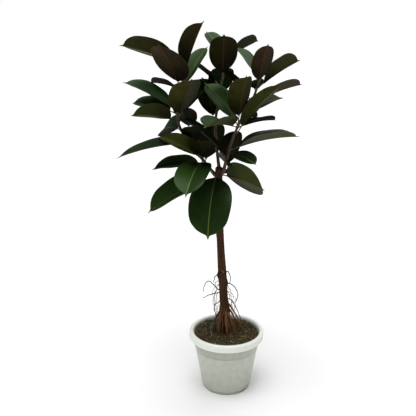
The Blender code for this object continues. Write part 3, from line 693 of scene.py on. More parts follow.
def make_pot(finish):
    lip_round = LIP_WIDTH / 2
    lip_top = arc((RIM_RADIUS - lip_round, POT_HEIGHT - lip_round), lip_round, 168, 4, 16)
    lip_edge = arc((RIM_RADIUS - 2.4 * EASE, LIP_FOOT + 2.4 * EASE), 2.4 * EASE, -4, -84, 6)
    body_edge = arc((BODY_FOOT_RADIUS - BODY_EDGE, FOOT_HEIGHT + BODY_EDGE), BODY_EDGE, -15, -88, 8)
    foot_inside = FOOT_RADIUS - FOOT_WIDTH
    under = LIP_FOOT + EASE / 4
    lip_face = [(RIM_RADIUS, POT_HEIGHT - LIP_HEIGHT * share) for share in (0.42, 0.56, 0.70)]
    collar = [(COLLAR_RADIUS - COLLAR_TAPER * share, LIP_FOOT - (LIP_FOOT - COLLAR_FOOT) * share)
              for share in (0.05, 0.2, 0.4, 0.6, 0.8, 0.93)]
    groove = [(COLLAR_RADIUS - COLLAR_TAPER - 0.0004, COLLAR_FOOT + 0.0012),
              (BODY_TOP_RADIUS + 0.0004, COLLAR_FOOT - 0.0003),
              (BODY_TOP_RADIUS - 0.0006, COLLAR_FOOT - 0.0014)]
    low = FOOT_HEIGHT + BODY_EDGE
    body = [(BODY_TOP_RADIUS + (body_edge[0][0] - BODY_TOP_RADIUS) * share,
             COLLAR_FOOT + (low - COLLAR_FOOT) * share)
            for share in (0.03, 0.15, 0.3, 0.45, 0.6, 0.75, 0.9)]
    outline = [
        (0.0, FLOOR), (inner_radius(FLOOR) * 0.5, FLOOR), (inner_radius(FLOOR), FLOOR),
        (inner_radius(COLLAR_FOOT), COLLAR_FOOT), (inner_radius(SOIL_EDGE - EASE), SOIL_EDGE - EASE),
        (inner_radius(SOIL_EDGE + EASE), SOIL_EDGE + EASE),
        *lip_top, *lip_face, *lip_edge,
        (COLLAR_RADIUS + EASE, under), (COLLAR_RADIUS + EASE * 0.3, under - EASE * 0.4),
        *collar, *groove, *body, *body_edge,
        (FOOT_RADIUS + EASE / 2, FOOT_HEIGHT), (FOOT_RADIUS, FOOT_HEIGHT - EASE / 2),
        (FOOT_RADIUS - DRAFT, EASE / 4), (FOOT_RADIUS - DRAFT - EASE / 4, 0.0),
        (foot_inside, 0.0), (foot_inside - DRAFT, FOOT_HEIGHT), (PAD_RADIUS + DRAFT, FOOT_HEIGHT),
        (PAD_RADIUS, 0.0), (0.0, 0.0),
    ]
    steps = POT_STEPS
    points = []
    faces = []
    rings = []
    for radius, height in outline:
        if radius == 0.0:
            rings.append([len(points)])
            points.append((0.0, 0.0, height))
            continue
        rings.append(list(range(len(points), len(points) + steps)))
        points += circle(radius, height, steps)
    for low_ring, high_ring in zip(rings, rings[1:]):
        for i in range(steps):
            j = (i + 1) % steps
            face = [low_ring[i % len(low_ring)], low_ring[j % len(low_ring)],
                    high_ring[j % len(high_ring)], high_ring[i % len(high_ring)]]
            faces.append(tuple(dict.fromkeys(face)))
    shell = bpy.data.objects.new("pot_blank", mesh_of("pot_blank", points, faces))
    bpy.context.scene.collection.objects.link(shell)
    facing_out(shell.data)
    cutters = []
    drain_circle = (PAD_RADIUS + foot_inside) / 2
    for i in range(DRAIN_COUNT):
        place = direction(360 * (i + 0.5) / DRAIN_COUNT, 0) * drain_circle + Vector((0, 0, FLOOR - WALL / 2))
        bpy.ops.mesh.primitive_cylinder_add(vertices=32, radius=DRAIN_RADIUS, depth=4 * WALL, location=place)
        cutters.append(bpy.context.object)
    for i in range(NOTCH_COUNT):
        turn = 360 * (i + 0.5) / NOTCH_COUNT
        bpy.ops.mesh.primitive_cube_add(
            size=1.0, location=direction(turn, 0) * (FOOT_RADIUS - FOOT_WIDTH / 2),
            rotation=(0, 0, math.radians(turn)), scale=(3 * FOOT_WIDTH, NOTCH_WIDTH, 2 * NOTCH_HEIGHT))
        cutters.append(bpy.context.object)
    for cutter in cutters:
        step = shell.modifiers.new(cutter.name, "BOOLEAN")
        step.operation = "DIFFERENCE"
        step.object = cutter
    mesh = bpy.data.meshes.new_from_object(shell.evaluated_get(bpy.context.evaluated_depsgraph_get()))
    for extra in (shell, *cutters):
        bpy.data.objects.remove(extra)
    mesh.materials.clear()
    mesh.shade_smooth()
    mesh.set_sharp_from_angle(angle=math.radians(40))
    wear = []
    for vertex in mesh.vertices:
        x, y, z = vertex.co
        radius = math.hypot(x, y)
        inside = radius < inner_radius(max(z, FLOOR)) + 0.0012 and z > FLOOR - EASE
        stain = max(0.0, 1 - abs(z - SOIL_EDGE) / 0.010) if inside else 0.0
        # Painted shadow: a dark line just under the lip, and one under the collar's overhang at its foot.
        lip_shadow = 0.75 * math.exp(-((z - LIP_FOOT + 0.0030) / 0.0045) ** 2)
        if radius >= RIM_RADIUS - 0.004:
            lip_shadow = 0.0
        groove_shadow = math.exp(-((z - COLLAR_FOOT) / 0.0016) ** 2)
        edge = 0.0 if inside else max(lip_shadow, groove_shadow)
        # Painted shade: the collar and body darker than the lip, most just under the lip and towards the
        # bottom.
        if z > LIP_FOOT - EASE / 2 or inside:
            shade = 0.0
        elif z > COLLAR_FOOT:
            shade = 0.88 + 0.12 * (z - COLLAR_FOOT) / (LIP_FOOT - COLLAR_FOOT)
        else:
            shade = 0.70 + 0.30 * (1 - z / COLLAR_FOOT)
        wear.append((stain, shade, edge))
    write_attribute(mesh, "wear", wear)
    add_piece("pot_shell", mesh, [finish], ["pot"])


# ---- Soil ----
SOIL_RINGS = 66
SOIL_STEPS = 180
GRAINS = 1700
FIBRES = 70
MOSS_LUMPS = 170
MOSS_X, MOSS_Y = -0.047, 0.040
# Low heaps of soil: place, height and width of each.
SOIL_HEAPS = ((-0.080, 0.075, 0.0085, 0.034), (0.075, 0.080, 0.0090, 0.036), (0.095, -0.020, 0.0025, 0.024),
              (-0.100, -0.010, 0.0025, 0.022), (0.030, 0.105, 0.0035, 0.024))


def soil_height(x, y):
    """The soil's real surface: the mound with clods and hollows on it."""
    radius = math.hypot(x, y)
    clods = noise.noise(Vector((x, y, 0.3)) * 55) * 0.0026 + noise.noise(Vector((x, y, 7.1)) * 140) * 0.0054
    crumbs = noise.noise(Vector((x, y, 2.7)) * 420) * 0.0009
    near = min(1.0, max(0.0, (radius - TRUNK_BASE_RADIUS) / 0.010))
    for hx, hy, tall, wide in SOIL_HEAPS:
        clods += tall * math.exp(-((x - hx) ** 2 + (y - hy) ** 2) / wide ** 2)
    return soil_top(radius) + clods * (0.4 + 0.6 * near) + crumbs - 0.0008


def make_soil(finish):
    rings, steps = SOIL_RINGS, SOIL_STEPS
    edge = inner_radius(SOIL_EDGE) - GAP
    points = []
    crumb = []
    for i in range(rings + 1):
        radius = TRUNK_BASE_RADIUS * 0.6 + (edge - TRUNK_BASE_RADIUS * 0.6) * i / rings
        for x, y, _ in circle(radius, 0.0, steps):
            points.append((x, y, soil_height(x, y)))
            crumb.append((max(0.0, noise.noise(Vector((x, y, 4.0)) * 260)) * 0.8, 0.0, 0.0))
    for radius, height in ((inner_radius(COLLAR_FOOT) - GAP, COLLAR_FOOT),
                           (inner_radius(FLOOR + GAP) - GAP, FLOOR + GAP)):
        points += circle(radius, height, steps)
        crumb += [(0.0, 0.0, 0.0)] * steps
    faces = rings_to_faces(rings + 3, steps)
    mesh = mesh_of("soil_bed", points, faces)
    facing_out(mesh)
    write_attribute(mesh, "crumb", crumb)
    add_piece("soil_bed", mesh, [finish], ["soil"])


def lump(centre, size, squash, rng):
    """(points, faces) of one irregular crumb."""
    work = bmesh.new()
    bmesh.ops.create_icosphere(work, subdivisions=1, radius=1.0)
    shift = Vector((rng.random(), rng.random(), rng.random())) * 40
    turn = Matrix.Rotation(rng.random() * 6.28, 3, direction(rng.random() * 360, rng.random() * 90))
    points = []
    for vertex in work.verts:
        place = vertex.co * (1 + 0.75 * noise.noise(vertex.co * 1.7 + shift))
        place = turn @ Vector((place.x, place.y * (0.6 + 0.4 * squash), place.z * squash))
        points.append(centre + place * size)
    faces = [tuple(v.index for v in face.verts) for face in work.faces]
    work.free()
    return points, faces


def make_grains(finish):
    """Loose crumbs, chips and fibres that lie on the soil."""
    rng = random.Random(11)
    parts = []
    crumb = []
    edge = inner_radius(SOIL_EDGE) - 0.004
    for i in range(GRAINS):
        radius = TRUNK_BASE_RADIUS + (edge - TRUNK_BASE_RADIUS) * math.sqrt(rng.random())
        a = rng.random() * 2 * math.pi
        x, y = radius * math.cos(a), radius * math.sin(a)
        size = 0.0008 + 0.0042 * rng.random() ** 3.2
        place = Vector((x, y, soil_height(x, y) + size * 0.25))
        points, faces = lump(place, size, 0.5 + 0.5 * rng.random(), rng)
        parts.append((points, faces))
        tone = rng.random()
        pale = 0.8 if tone > 0.975 else 0.0
        crumb += [(tone ** 2.4, pale, 0.0)] * len(points)
    for i in range(FIBRES):
        radius = TRUNK_BASE_RADIUS + (edge - TRUNK_BASE_RADIUS - 0.01) * math.sqrt(rng.random())
        a = rng.random() * 360
        start = direction(a, 0) * radius
        turn = rng.random() * 360
        length = 0.004 + 0.010 * rng.random()
        line = []
        for k in range(5):
            place = start + direction(turn + 25 * math.sin(k * 1.3 + i), 0) * length * (k / 4 - 0.5)
            place.z = soil_height(place.x, place.y) + 0.0009 + 0.0007 * math.sin(k * 1.7)
            line.append(place)
        thick = 0.00035 + 0.0005 * rng.random()
        parts.append(tube(line, [thick * s for s in (0.5, 1, 1.1, 0.9, 0.4)], 5))
        crumb += [(0.3 + 0.7 * rng.random(), 0.25 * (rng.random() > 0.8), 0.0)] * len(parts[-1][0])
    add_joined("soil_grains", parts, finish, "soil", crumb=crumb)


def on_soil(x, y, above=0.0):
    return Vector((x, y, soil_height(x, y) + above))


# Place and height of each.
SEEDLINGS = ((0.014, -0.052, 0.007), (-0.035, -0.058, 0.006), (0.062, -0.045, 0.005))


def make_ground_plants(moss_finish, green_finish, pale_finish):
    """The moss clump beside the trunk, three seedlings and a pale root that lies bare."""
    rng = random.Random(5)
    parts = []
    for i in range(MOSS_LUMPS):
        a = rng.random() * 2 * math.pi
        reach = rng.random() ** 0.7
        x = MOSS_X + 0.019 * reach * math.cos(a)
        y = MOSS_Y + 0.034 * reach * math.sin(a)
        size = 0.0015 + 0.0030 * rng.random() ** 2
        parts.append(lump(on_soil(x, y, size * 0.5 + 0.018 * (1 - reach)), size, 0.8, rng))
    add_joined("moss_clump", parts, moss_finish, "soil")
    for number, (x, y, tall) in enumerate(SEEDLINGS):
        root = on_soil(x, y, -0.001)
        tip = root + Vector((0.001, 0.0005, tall))
        middle = root.lerp(tip, 0.5) + Vector((0.0004, 0, 0))
        parts = [tube([root, middle, tip], [0.0004, 0.00035, 0.0003], 6)]
        for k in range(4):
            out = direction(90 * k + 25 * number, 24)
            up = Vector((0, 0, 1))
            side = out.cross(up).normalized()
            rows = []
            for s, w in ((0.0, 0.2), (0.3, 0.8), (0.6, 1.0), (0.85, 0.7), (1.0, 0.1)):
                middle = tip + out * 0.0042 * s + up * 0.0006 * math.sin(s * 3)
                rows += [middle + side * 0.0013 * w, middle + up * 0.00018, middle - side * 0.0013 * w,
                         middle - up * 0.00018]
            parts.append((rows, rings_to_faces(5, 4)))
        add_joined(f"seedling_{number + 1}", parts, green_finish, "leaf")
    line = [Vector((-0.061, 0.045, 0)), Vector((-0.064, 0.012, 0)), Vector((-0.060, -0.016, 0)),
            Vector((-0.063, -0.0425, 0))]
    line = smooth_path(line, 6)
    line = [on_soil(p.x, p.y, 0.0012) for p in line]
    root = tube(line, [0.0009] * len(line), 8)
    add_joined("bare_root", [root], pale_finish, "soil", crumb=[(0.6, 0.85, 0.0)] * len(root[0]))


# ---- Trunk, stems and roots ----
# One row a knot on the trunk: azimuth, height above the soil, how far it stands out, its width and height.
TRUNK_KNOTS = ((196, 0.252, 0.0058, 0.55, 0.012), (-12, 0.222, 0.0056, 0.50, 0.013),
               (-130, 0.262, 0.0016, 0.5, 0.006), (60, 0.330, 0.0030, 0.5, 0.010),
               (150, 0.420, 0.0026, 0.5, 0.009), (-60, 0.470, 0.0020, 0.5, 0.007),
               (-150, 0.560, 0.0022, 0.5, 0.008), (20, 0.575, 0.0022, 0.5, 0.008))
SCAR_TURN = 280
SCAR_HEIGHT = 0.272
TRUNK_ROWS = 300
TRUNK_SIDES = 56
TRUNK_SUNK = 0.010
PROP_ROWS = 26
PROP_SIDES = 12
FINE_ROOTS = 22
TRUNK_RINGS = (0.205, 0.243, 0.291, 0.334, 0.371, 0.418, 0.452, 0.497, 0.531, 0.566, 0.603, 0.634, 0.662)


def trunk_shape(height, out):
    """How far the bark stands from the trunk's axis there."""
    azimuth = math.degrees(math.atan2(out.y, out.x))
    radius = trunk_radius(height)
    spot = Vector((out.x * 2.2, out.y * 2.2, height * 9))
    furrow = Vector((out.x * 7.5, out.y * 7.5, height * 12))
    radius += 0.0017 * noise.noise(spot) + 0.0007 * noise.noise(furrow)
    for level in TRUNK_RINGS:
        tilt = level + 0.0016 * math.sin(math.radians(azimuth) + level * 60)
        radius += 0.0006 * math.exp(-((height - tilt) / 0.0022) ** 2)
        radius -= 0.0004 * math.exp(-((height - tilt - 0.0042) / 0.0015) ** 2)
    for turn, level, proud, wide, tall in TRUNK_KNOTS:
        gap = math.radians((azimuth - turn + 180) % 360 - 180)
        radius += proud * math.exp(-(gap / wide) ** 2 - ((height - level) / tall) ** 2)
    for turn, start, reach in PROP_ROOTS:
        gap = math.radians((azimuth - turn + 180) % 360 - 180)
        if height < start:
            radius += 0.0018 * math.exp(-(gap / 0.22) ** 2) * min(1.0, (start - height) / 0.03)
    return radius


def prop_root_path(azimuth, height, reach, index):
    start = trunk_axis(height)
    out = direction(azimuth, 0)
    side = direction(azimuth + 90, 0)
    landing = out * reach
    foot = soil_top(reach) + GAP + PROP_RADIUS * 0.8
    points = []
    count = PROP_ROWS
    for i in range(count + 1):
        s = i / count
        point = start.lerp(landing, s ** 1.3)
        point += out * trunk_radius(height) * 0.9 * math.sin(math.pi * s) ** 0.8
        wander = noise.noise(Vector((index * 3.7, s * 4.5, 1.0)))
        point += side * 0.0070 * wander * math.sin(math.pi * s)
        point.z = start.z + (foot - start.z) * s - 0.004 * max(0.0, s - 0.93) / 0.07
        points.append(point)
    bumps = [1 + 0.22 * noise.noise(Vector((index * 5.1, i * 0.55, 0))) for i in range(count + 1)]
    return points, [PROP_RADIUS * (1.35 - 0.55 * i / count) * bump for i, bump in enumerate(bumps)]


def make_trunk(finish):
    heights = [-TRUNK_SUNK + (TRUNK_HEIGHT + TRUNK_SUNK) * i / TRUNK_ROWS for i in range(TRUNK_ROWS + 1)]
    points = []
    marks = []
    sides = TRUNK_SIDES
    for height in heights:
        centre = trunk_axis(height)
        for j in range(sides):
            out = direction(360 * j / sides, 0)
            points.append(centre + out * trunk_shape(height, out))
            gap = math.hypot(math.radians(360 * j / sides - SCAR_TURN) * 0.016, height - SCAR_HEIGHT)
            marks.append((max(0.0, 1 - (height - MOUND) / 0.030), 0.0, math.exp(-(gap / 0.0045) ** 2)))
    top = trunk_axis(TRUNK_HEIGHT)
    for lift, share in ((0.0015, 0.97), (0.0040, 0.88), (0.0065, 0.70), (0.0080, 0.48)):
        points += [top + direction(360 * j / sides, 0) * TRUNK_TOP_RADIUS * share + Vector((0, 0, lift))
                   for j in range(sides)]
        marks += [(0.0, 0.0, 0.0)] * sides
    parts = [(points, rings_to_faces(len(points) // sides, sides))]
    for index, (azimuth, height, reach) in enumerate(PROP_ROOTS):
        line, radii = prop_root_path(azimuth, height, reach, index)
        if index == 1:
            radii = [radius * 1.45 for radius in radii]
        parts.append(tube(line, radii, PROP_SIDES))
        orange = 1.0 if index in (1, 2, 3) else 0.45
        for i in range(len(line)):
            share = i / (len(line) - 1)
            marks += [(max(0.0, (share - 0.85) / 0.15), orange * min(1.0, share * 4), 0.0)] * PROP_SIDES
    add_joined("trunk_bark", parts, finish, "bark", ["trunk"], bark=marks)


# How far along the bud, and its radius there as a share of BUD_RADIUS.
BUD_SHAPE = ((0.05, 1.15), (0.12, 1.25), (0.25, 1.15), (0.45, 0.92), (0.65, 0.62), (0.85, 0.32), (1.0, 0.10))
STEM_SIDES = 20


def make_stem(name, finish):
    """A stem with the rings that shed leaves left, and the pointed bud at its tip."""
    base = stem_path(name)
    radii = stem_radii(len(base))
    line = [base[0]]
    width = [radii[0]]
    for low, high, r_low, r_high in zip(base, base[1:], radii, radii[1:]):
        steps = 2 if low is base[0] else 9
        for i in range(1, steps + 1):
            line.append(low.lerp(high, i / steps))
            width.append(r_low + (r_high - r_low) * i / steps)
    length = 0.0
    travelled = [0.0]
    for a, b in zip(line, line[1:]):
        length += (b - a).length
        travelled.append(length)
    joints = [on_stem(name, leaf.height)[0] for leaf in LEAVES if leaf.stem == name]
    inside = base[0] - (base[1] - base[0]).normalized() * (TRUNK_TOP_RADIUS * 0.9)
    full = [STEM_RADIUS * 1.25, STEM_RADIUS * 1.45]
    marks = [(0.0, 0.0, 0.0)] * 2
    collar = [inside, inside.lerp(base[0], 0.7)]
    for point, radius, reach in zip(line, width, travelled):
        near = min((point - joint).length for joint in joints)
        ring = 0.10 * math.exp(-(near / 0.004) ** 2)
        ripple = 0.035 * (math.sin(reach * 2 * math.pi / 0.0117) > 0.93)
        swell = 0.32 * math.exp(-reach / 0.014)
        full.append(radius * (1 + ring + ripple + swell))
        marks.append((min(1.0, max(0.0, (reach / length - 0.35) / 0.5)), 0.0, 0.0))
    line = [*collar, *line]
    way = (line[-1] - line[-2]).normalized()
    sweep = way.orthogonal().normalized()
    for share, wide in BUD_SHAPE:
        line.append(base[-1] + way * BUD_LENGTH * share + sweep * 0.003 * share ** 2)
        full.append(BUD_RADIUS * wide)
        marks.append((1.0, 1.0, 0.0))

    def uneven(i, out, radius):
        return radius * (1 + 0.06 * noise.noise(out * 1.6 + Vector((0, 0, i * 0.35))))

    add_joined(f"stem_{name}_bark", [tube(line, full, STEM_SIDES, uneven)], finish, "bark", [f"stem_{name}"],
               bark=[mark for mark in marks for _ in range(STEM_SIDES)])


def make_aerial_root(name, row, finish):
    (azimuth, height), rest = row
    places = [trunk_axis(above) + direction(turn, 0) * reach for reach, turn, above in rest]
    way = direction(azimuth, 0)
    start = seat(trunk_axis(height), Vector((0, 0, 1)), trunk_radius(height), way, AERIAL_RADIUS)
    line = [start - way * 0.003, *smooth_path([start + way * AERIAL_RADIUS, *places], 8)]
    seed = sum(map(ord, name))
    radii = []
    for i in range(len(line)):
        share = i / (len(line) - 1)
        bump = 1 + 0.3 * noise.noise(Vector((seed, i * 0.4, 0)))
        radii.append(AERIAL_RADIUS * (1.35 - 0.6 * share ** 2) * bump)
        line[i] = line[i] + noise.noise_vector(Vector((seed, share * 9, 2))) * 0.0016 * min(1.0, 5 * share)
    add_joined(name + "_strand", [tube(line, radii, 10)], finish, "root", [name])


# One row a thin dry strand beside the trunk: azimuth and height of its start, how far out it hangs, and the
# height of its end.
HAIR_ROOTS = ((170, 0.232, 0.026, 0.120), (184, 0.226, 0.034, 0.096), (196, 0.214, 0.030, 0.070),
              (160, 0.206, 0.022, 0.090), (204, 0.196, 0.040, 0.104), (-20, 0.212, 0.024, 0.110),
              (-8, 0.198, 0.034, 0.086), (4, 0.186, 0.028, 0.060), (-34, 0.190, 0.022, 0.074),
              (12, 0.172, 0.040, 0.100), (-100, 0.176, 0.018, 0.084), (150, 0.180, 0.026, 0.050))


def make_hair_roots(finish):
    """The thinnest aerial roots, as one piece with the aerial roots' finish."""
    parts = []
    for index, (azimuth, height, reach, low) in enumerate(HAIR_ROOTS):
        way = direction(azimuth, 0)
        start = trunk_axis(height) + way * (trunk_radius(height) - 0.001)
        knee = trunk_axis(height - 0.012) + way * (trunk_radius(height) + reach * 0.45)
        middle = trunk_axis((height + low) / 2) + way * (trunk_radius(height) + reach * 0.8)
        aside = direction(azimuth + 8 * math.sin(index * 2.1), 0)
        end = trunk_axis(low) + aside * (trunk_radius(low) + reach * 0.65)
        line = smooth_path([start, knee, middle, end], 9)
        for i in range(1, len(line)):
            shift = noise.noise_vector(Vector((index * 4.1, i * 0.22, 3)))
            line[i] = line[i] + shift * 0.0085 * min(1.0, i / 6)
        thick = 0.00055 + 0.00035 * (index % 3)
        radii = [thick * (1.1 - 0.6 * i / len(line)) for i in range(len(line))]
        parts.append(tube(line, radii, 7))
    add_joined("hair_roots", parts, finish, "root")


def make_fine_roots(finish):
    """Thin roots from the foot of the trunk, between the prop roots, that cross over into the soil."""
    rng = random.Random(23)
    parts = []
    marks = []
    for index in range(FINE_ROOTS):
        azimuth = 360 * (index + rng.random()) / FINE_ROOTS
        height = 0.035 + 0.095 * rng.random()
        reach = 0.030 + 0.050 * rng.random()
        turn = (rng.random() - 0.5) * 60
        thick = 0.0008 + 0.0010 * rng.random()
        out = direction(azimuth, 0)
        landing = direction(azimuth + turn, 0) * reach
        start = trunk_axis(height) + out * (trunk_radius(height) - 0.001)
        shoulder = start + out * 0.008 + Vector((0, 0, -0.006))
        foot = on_soil(landing.x, landing.y, -0.002)
        knee = shoulder.lerp(foot, 0.55) + out * 0.006 + Vector((0, 0, 0.004))
        line = smooth_path([start, shoulder, knee, foot], 8)
        for i in range(1, len(line) - 1):
            line[i] = line[i] + noise.noise_vector(Vector((index * 3.3, i * 0.3, 8))) * 0.005
        radii = [thick * (1.2 - 0.4 * i / len(line)) for i in range(len(line))]
        parts.append(tube(line, radii, 8))
        marks += [(0.0, 0.35 + 0.6 * rng.random(), 0.0)] * len(parts[-1][0])
    add_joined("fine_roots", parts, finish, "root", bark=marks)


# ---- Leaves ----
BLADE_ROWS = 64
# Columns from the midrib out to the margin, as shares of the half-width.
COLUMNS = (0.0, 0.012, 0.028, 0.048, 0.075, 0.12, 0.19, 0.27, 0.36, 0.45, 0.54, 0.63, 0.72, 0.80, 0.87, 0.93,
           0.975, 1.0)
STALK_ROWS = 9
STALK_SIDES = 12


def leaf_line(leaf, reaches, stalk, blade):
    """(points, along, across, up) at those reaches along a leaf, as arrays."""
    parent, parent_way, parent_radius = on_stem(leaf.stem, leaf.height)
    begin = seat(parent, parent_way, parent_radius, direction(leaf.azimuth, leaf.elevation + leaf.bend / 2),
                 STALK_RADIUS)
    a = math.radians(leaf.azimuth)
    first = math.radians(leaf.elevation + leaf.bend / 2)
    rate = math.radians(leaf.bend) / (stalk + blade)
    e = first - rate * reaches
    out = (math.sin(first) - np.sin(e)) / rate
    rise = (np.cos(e) - math.cos(first)) / rate
    points = np.array(begin) + np.stack((out * math.cos(a), out * math.sin(a), rise), 1)
    along = np.stack((math.cos(a) * np.cos(e), math.sin(a) * np.cos(e), np.sin(e)), 1)
    up = np.stack((-math.cos(a) * np.sin(e), -math.sin(a) * np.sin(e), np.cos(e)), 1)
    side = np.broadcast_to(np.array((math.sin(a), -math.cos(a), 0.0)), up.shape)
    turn = (math.radians(leaf.roll) * np.minimum(1.0, reaches / stalk))[:, None]
    return points, along, side * np.cos(turn) - up * np.sin(turn), up * np.cos(turn) + side * np.sin(turn)


def make_leaf(leaf, finishes):
    rng = random.Random(leaf.name)
    stalk = STALK_LENGTH * leaf.size
    blade = LEAF_LENGTH * leaf.size
    even = np.linspace(0.0, 1.0, BLADE_ROWS)
    t = 0.45 * even + 0.55 * (1 - np.cos(math.pi * even)) / 2
    outline = smooth_path([Vector((*pair, 0.0)) for pair in OUTLINE], 8)
    width = np.interp(t, [p.x for p in outline], [p.y for p in outline])
    half = (LEAF_WIDTH / 2 * leaf.size * leaf.breadth * width)[:, None]
    centre, along, across, up = leaf_line(leaf, stalk + blade * t, stalk, blade)
    v = np.array([*(-c for c in reversed(COLUMNS[1:])), *COLUMNS])[None, :]
    far = np.abs(v)
    tt = t[:, None]
    fold = math.radians(leaf.fold)
    x = v * half * math.cos(fold)
    lift = half * math.sin(fold) * (np.sqrt(far ** 2 + 0.003) - 0.055 - 0.05 * far ** 2)
    # Margins wave, the halves belly a little between side veins, and the drip tip sweeps aside.
    wave = (0.0006 + 0.0010 * rng.random()) * leaf.size
    waves = 1.2 + 1.3 * rng.random()
    left, right = rng.random() * 6.28, rng.random() * 6.28
    phase = np.where(v < 0, left, right)
    lift = lift + wave * np.sin(2 * math.pi * waves * tt + phase) * far ** 2.4 * np.sin(math.pi * tt) ** 0.5
    lift = lift - 0.05 * half * far ** 6
    slant = (blade * tt + VEIN_SLANT * far * half) / VEIN_SPACING
    belly = 0.00022 * np.cos(2 * math.pi * slant) * np.minimum(1.0, half / 0.02)
    belly = belly * (far > 0.05) * (1 - far ** 4)
    sweep = (rng.random() - 0.5) * 0.010 * leaf.size * tt ** 3
    thick = BLADE_THICKNESS / 2 * (0.45 + 0.55 * width)[:, None] * (1 - 0.65 * far ** 3)
    rib = STALK_RADIUS * (1.0 - 0.78 * tt ** 0.8)
    ridge = np.clip(1 - (x / (rib * 1.5)) ** 2, 0, 1) ** 0.5 * rib * 1.35
    groove = 0.0007 * (1 - 0.7 * tt) * np.exp(-(x / 0.0014) ** 2)
    upper = lift + thick - groove - belly
    lower = lift - thick - ridge - belly
    sheets = []
    for height in (upper, lower):
        sheet = (centre[:, None, :] + across[:, None, :] * (x + sweep)[:, :, None]
                 + up[:, None, :] * height[:, :, None])
        sheets.append(sheet.reshape(-1, 3))
    columns = v.shape[1]
    count = BLADE_ROWS * columns
    points = [tuple(p) for sheet in sheets for p in sheet]
    faces = []
    kinds = []
    for i in range(BLADE_ROWS - 1):
        for j in range(columns - 1):
            a = i * columns + j
            b = a + columns
            faces.append((a, b, b + 1, a + 1))
            kinds.append(0)
            faces.append((count + a, count + a + 1, count + b + 1, count + b))
            kinds.append(1)
    rim = [i * columns for i in range(BLADE_ROWS)]
    rim += [(BLADE_ROWS - 1) * columns + j for j in range(1, columns)]
    rim += [i * columns + columns - 1 for i in range(BLADE_ROWS - 2, -1, -1)]
    rim += list(range(columns - 2, 0, -1))
    for a, b in zip(rim, [*rim[1:], rim[0]]):
        faces.append((a, count + a, count + b, b))
        kinds.append(0)
    reach = np.broadcast_to(blade * tt, x.shape)
    place = np.stack((reach, x, np.broadcast_to(v, x.shape)), 2).reshape(-1, 3)
    # The stalk: flared where it meets the stem, and running on under the blade as its midrib.
    reaches = np.linspace(-0.0012, stalk + blade * 0.045, STALK_ROWS)
    middle, _, aside, above = leaf_line(leaf, reaches, stalk, blade)
    share = np.linspace(0.0, 1.0, STALK_ROWS)
    radii = STALK_RADIUS * (1.0 + 0.35 * np.exp(-share * 7) - 0.12 * share)
    drop = -0.0012 * np.clip((share - 0.75) / 0.25, 0, 1)
    start = len(points)
    for i in range(STALK_ROWS):
        for j in range(STALK_SIDES):
            a = 2 * math.pi * j / STALK_SIDES
            rise = above[i] * (math.sin(a) * radii[i] + drop[i])
            points.append(tuple(middle[i] + aside[i] * math.cos(a) * radii[i] + rise))
    stalk_faces = rings_to_faces(STALK_ROWS, STALK_SIDES, start)
    faces += stalk_faces
    kinds += [2] * len(stalk_faces)
    mesh = bpy.data.meshes.new(leaf.name + "_blade")
    mesh.from_pydata(points, [], faces)
    mesh.polygons.foreach_set("material_index", kinds)
    mesh.shade_smooth()
    mesh.set_sharp_from_angle(angle=math.radians(SHARP_ANGLE))
    total = len(points)
    blade_marks = np.zeros((total, 3), np.float32)
    blade_marks[:count] = place
    blade_marks[count:2 * count] = place
    write_attribute(mesh, "blade", blade_marks)
    write_attribute(mesh, "tone", np.tile((leaf.green, leaf.red, leaf.rib), (total, 1)))
    # Marks the inner leaves for their painted shade and rougher finish.
    write_attribute(mesh, "age", np.full((total, 3), float(leaf.inner)))
    add_piece(leaf.name + "_blade", mesh, finishes, [leaf.name])


# ---- Stage ----
FILL_LIGHT = 0.10
KEY_LIGHT = 3.3
BACK_LIGHT = 0.7
CAMERA_PLACE = (-0.075, -2.2235, 1.368)
CAMERA_TILT = 74.6
CAMERA_LENS = 51.92


def make_stage():
    bpy.ops.mesh.primitive_plane_add(size=60)
    floor = bpy.context.object
    floor.name = "floor"
    floor.data.materials.append(floor_finish())


def sun(name, way, spread, power):
    """A soft light that reaches the whole floor evenly, from that way."""
    data = bpy.data.lights.new(name, "SUN")
    data.angle = math.radians(spread)
    data.energy = power
    lamp = bpy.data.objects.new(name, data)
    bpy.context.scene.collection.objects.link(lamp)
    lamp.rotation_euler = Vector(way).to_track_quat("Z", "Y").to_euler()


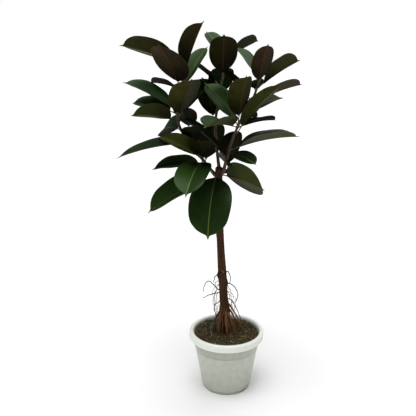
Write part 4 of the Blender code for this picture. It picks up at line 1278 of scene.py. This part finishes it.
def make_lights():
    """A white surround that gives little light of its own, and soft lights from above."""
    world = bpy.data.worlds.new("studio")
    bpy.context.scene.world = world
    world.use_nodes = True
    nodes, links = world.node_tree.nodes, world.node_tree.links
    shade = nodes["Background"]
    shade.inputs["Color"].default_value = (0.95, 0.98, 1.0, 1.0)
    shade.inputs["Strength"].default_value = FILL_LIGHT
    white = nodes.new("ShaderNodeBackground")
    white.inputs["Color"].default_value = (1.0, 1.0, 1.0, 1.0)
    choose = nodes.new("ShaderNodeMixShader")
    links.new(nodes.new("ShaderNodeLightPath").outputs["Is Camera Ray"], choose.inputs[0])
    links.new(shade.outputs[0], choose.inputs[1])
    links.new(white.outputs[0], choose.inputs[2])
    links.new(choose.outputs[0], nodes["World Output"].inputs["Surface"])
    sun("key", (-0.10, -0.16, 1.0), 50, KEY_LIGHT)
    sun("back", (0.30, 0.70, 1.0), 60, BACK_LIGHT)


def make_camera():
    data = bpy.data.cameras.new("camera")
    data.sensor_width = 36.0
    data.lens = CAMERA_LENS
    data.clip_end = 100.0
    camera = bpy.data.objects.new("camera", data)
    camera.location = CAMERA_PLACE
    camera.rotation_euler = (math.radians(CAMERA_TILT), 0.0, 0.0)
    bpy.context.scene.collection.objects.link(camera)
    bpy.context.scene.camera = camera


def main():
    noise.seed_set(NOISE_SEED)
    bark_finish, stem_finish, root_finish = bark(), young_bark(), dry_root()
    soil_finish = potting_soil()
    make_pot(moulded_plastic())
    make_soil(soil_finish)
    make_grains(soil_finish)
    make_ground_plants(moss(), seedling(), soil_finish)
    make_trunk(bark_finish)
    for name in STEMS:
        make_stem(name, stem_finish)
    for number, row in enumerate(AERIAL_ROOTS, 1):
        make_aerial_root(f"aerial_root_{number}", row, root_finish)
    make_hair_roots(root_finish)
    make_fine_roots(bark_finish)
    stalk_finish = leaf_stalk()
    outer = [leaf_upper("leaf_upper", 0.20), leaf_lower("leaf_lower", 0.07), stalk_finish]
    # Shaded copies of the leaf finishes for the inner leaves: almost no gloss, to go with their painted
    # shade.
    inner = [leaf_upper("inner_leaf_upper", 0.01), leaf_lower("inner_leaf_lower", 0.01), stalk_finish]
    for leaf in LEAVES:
        make_leaf(leaf, inner if leaf.inner else outer)
    make_stage()
    make_lights()
    make_camera()
    bpy.context.scene.view_settings.view_transform = "Standard"


main()
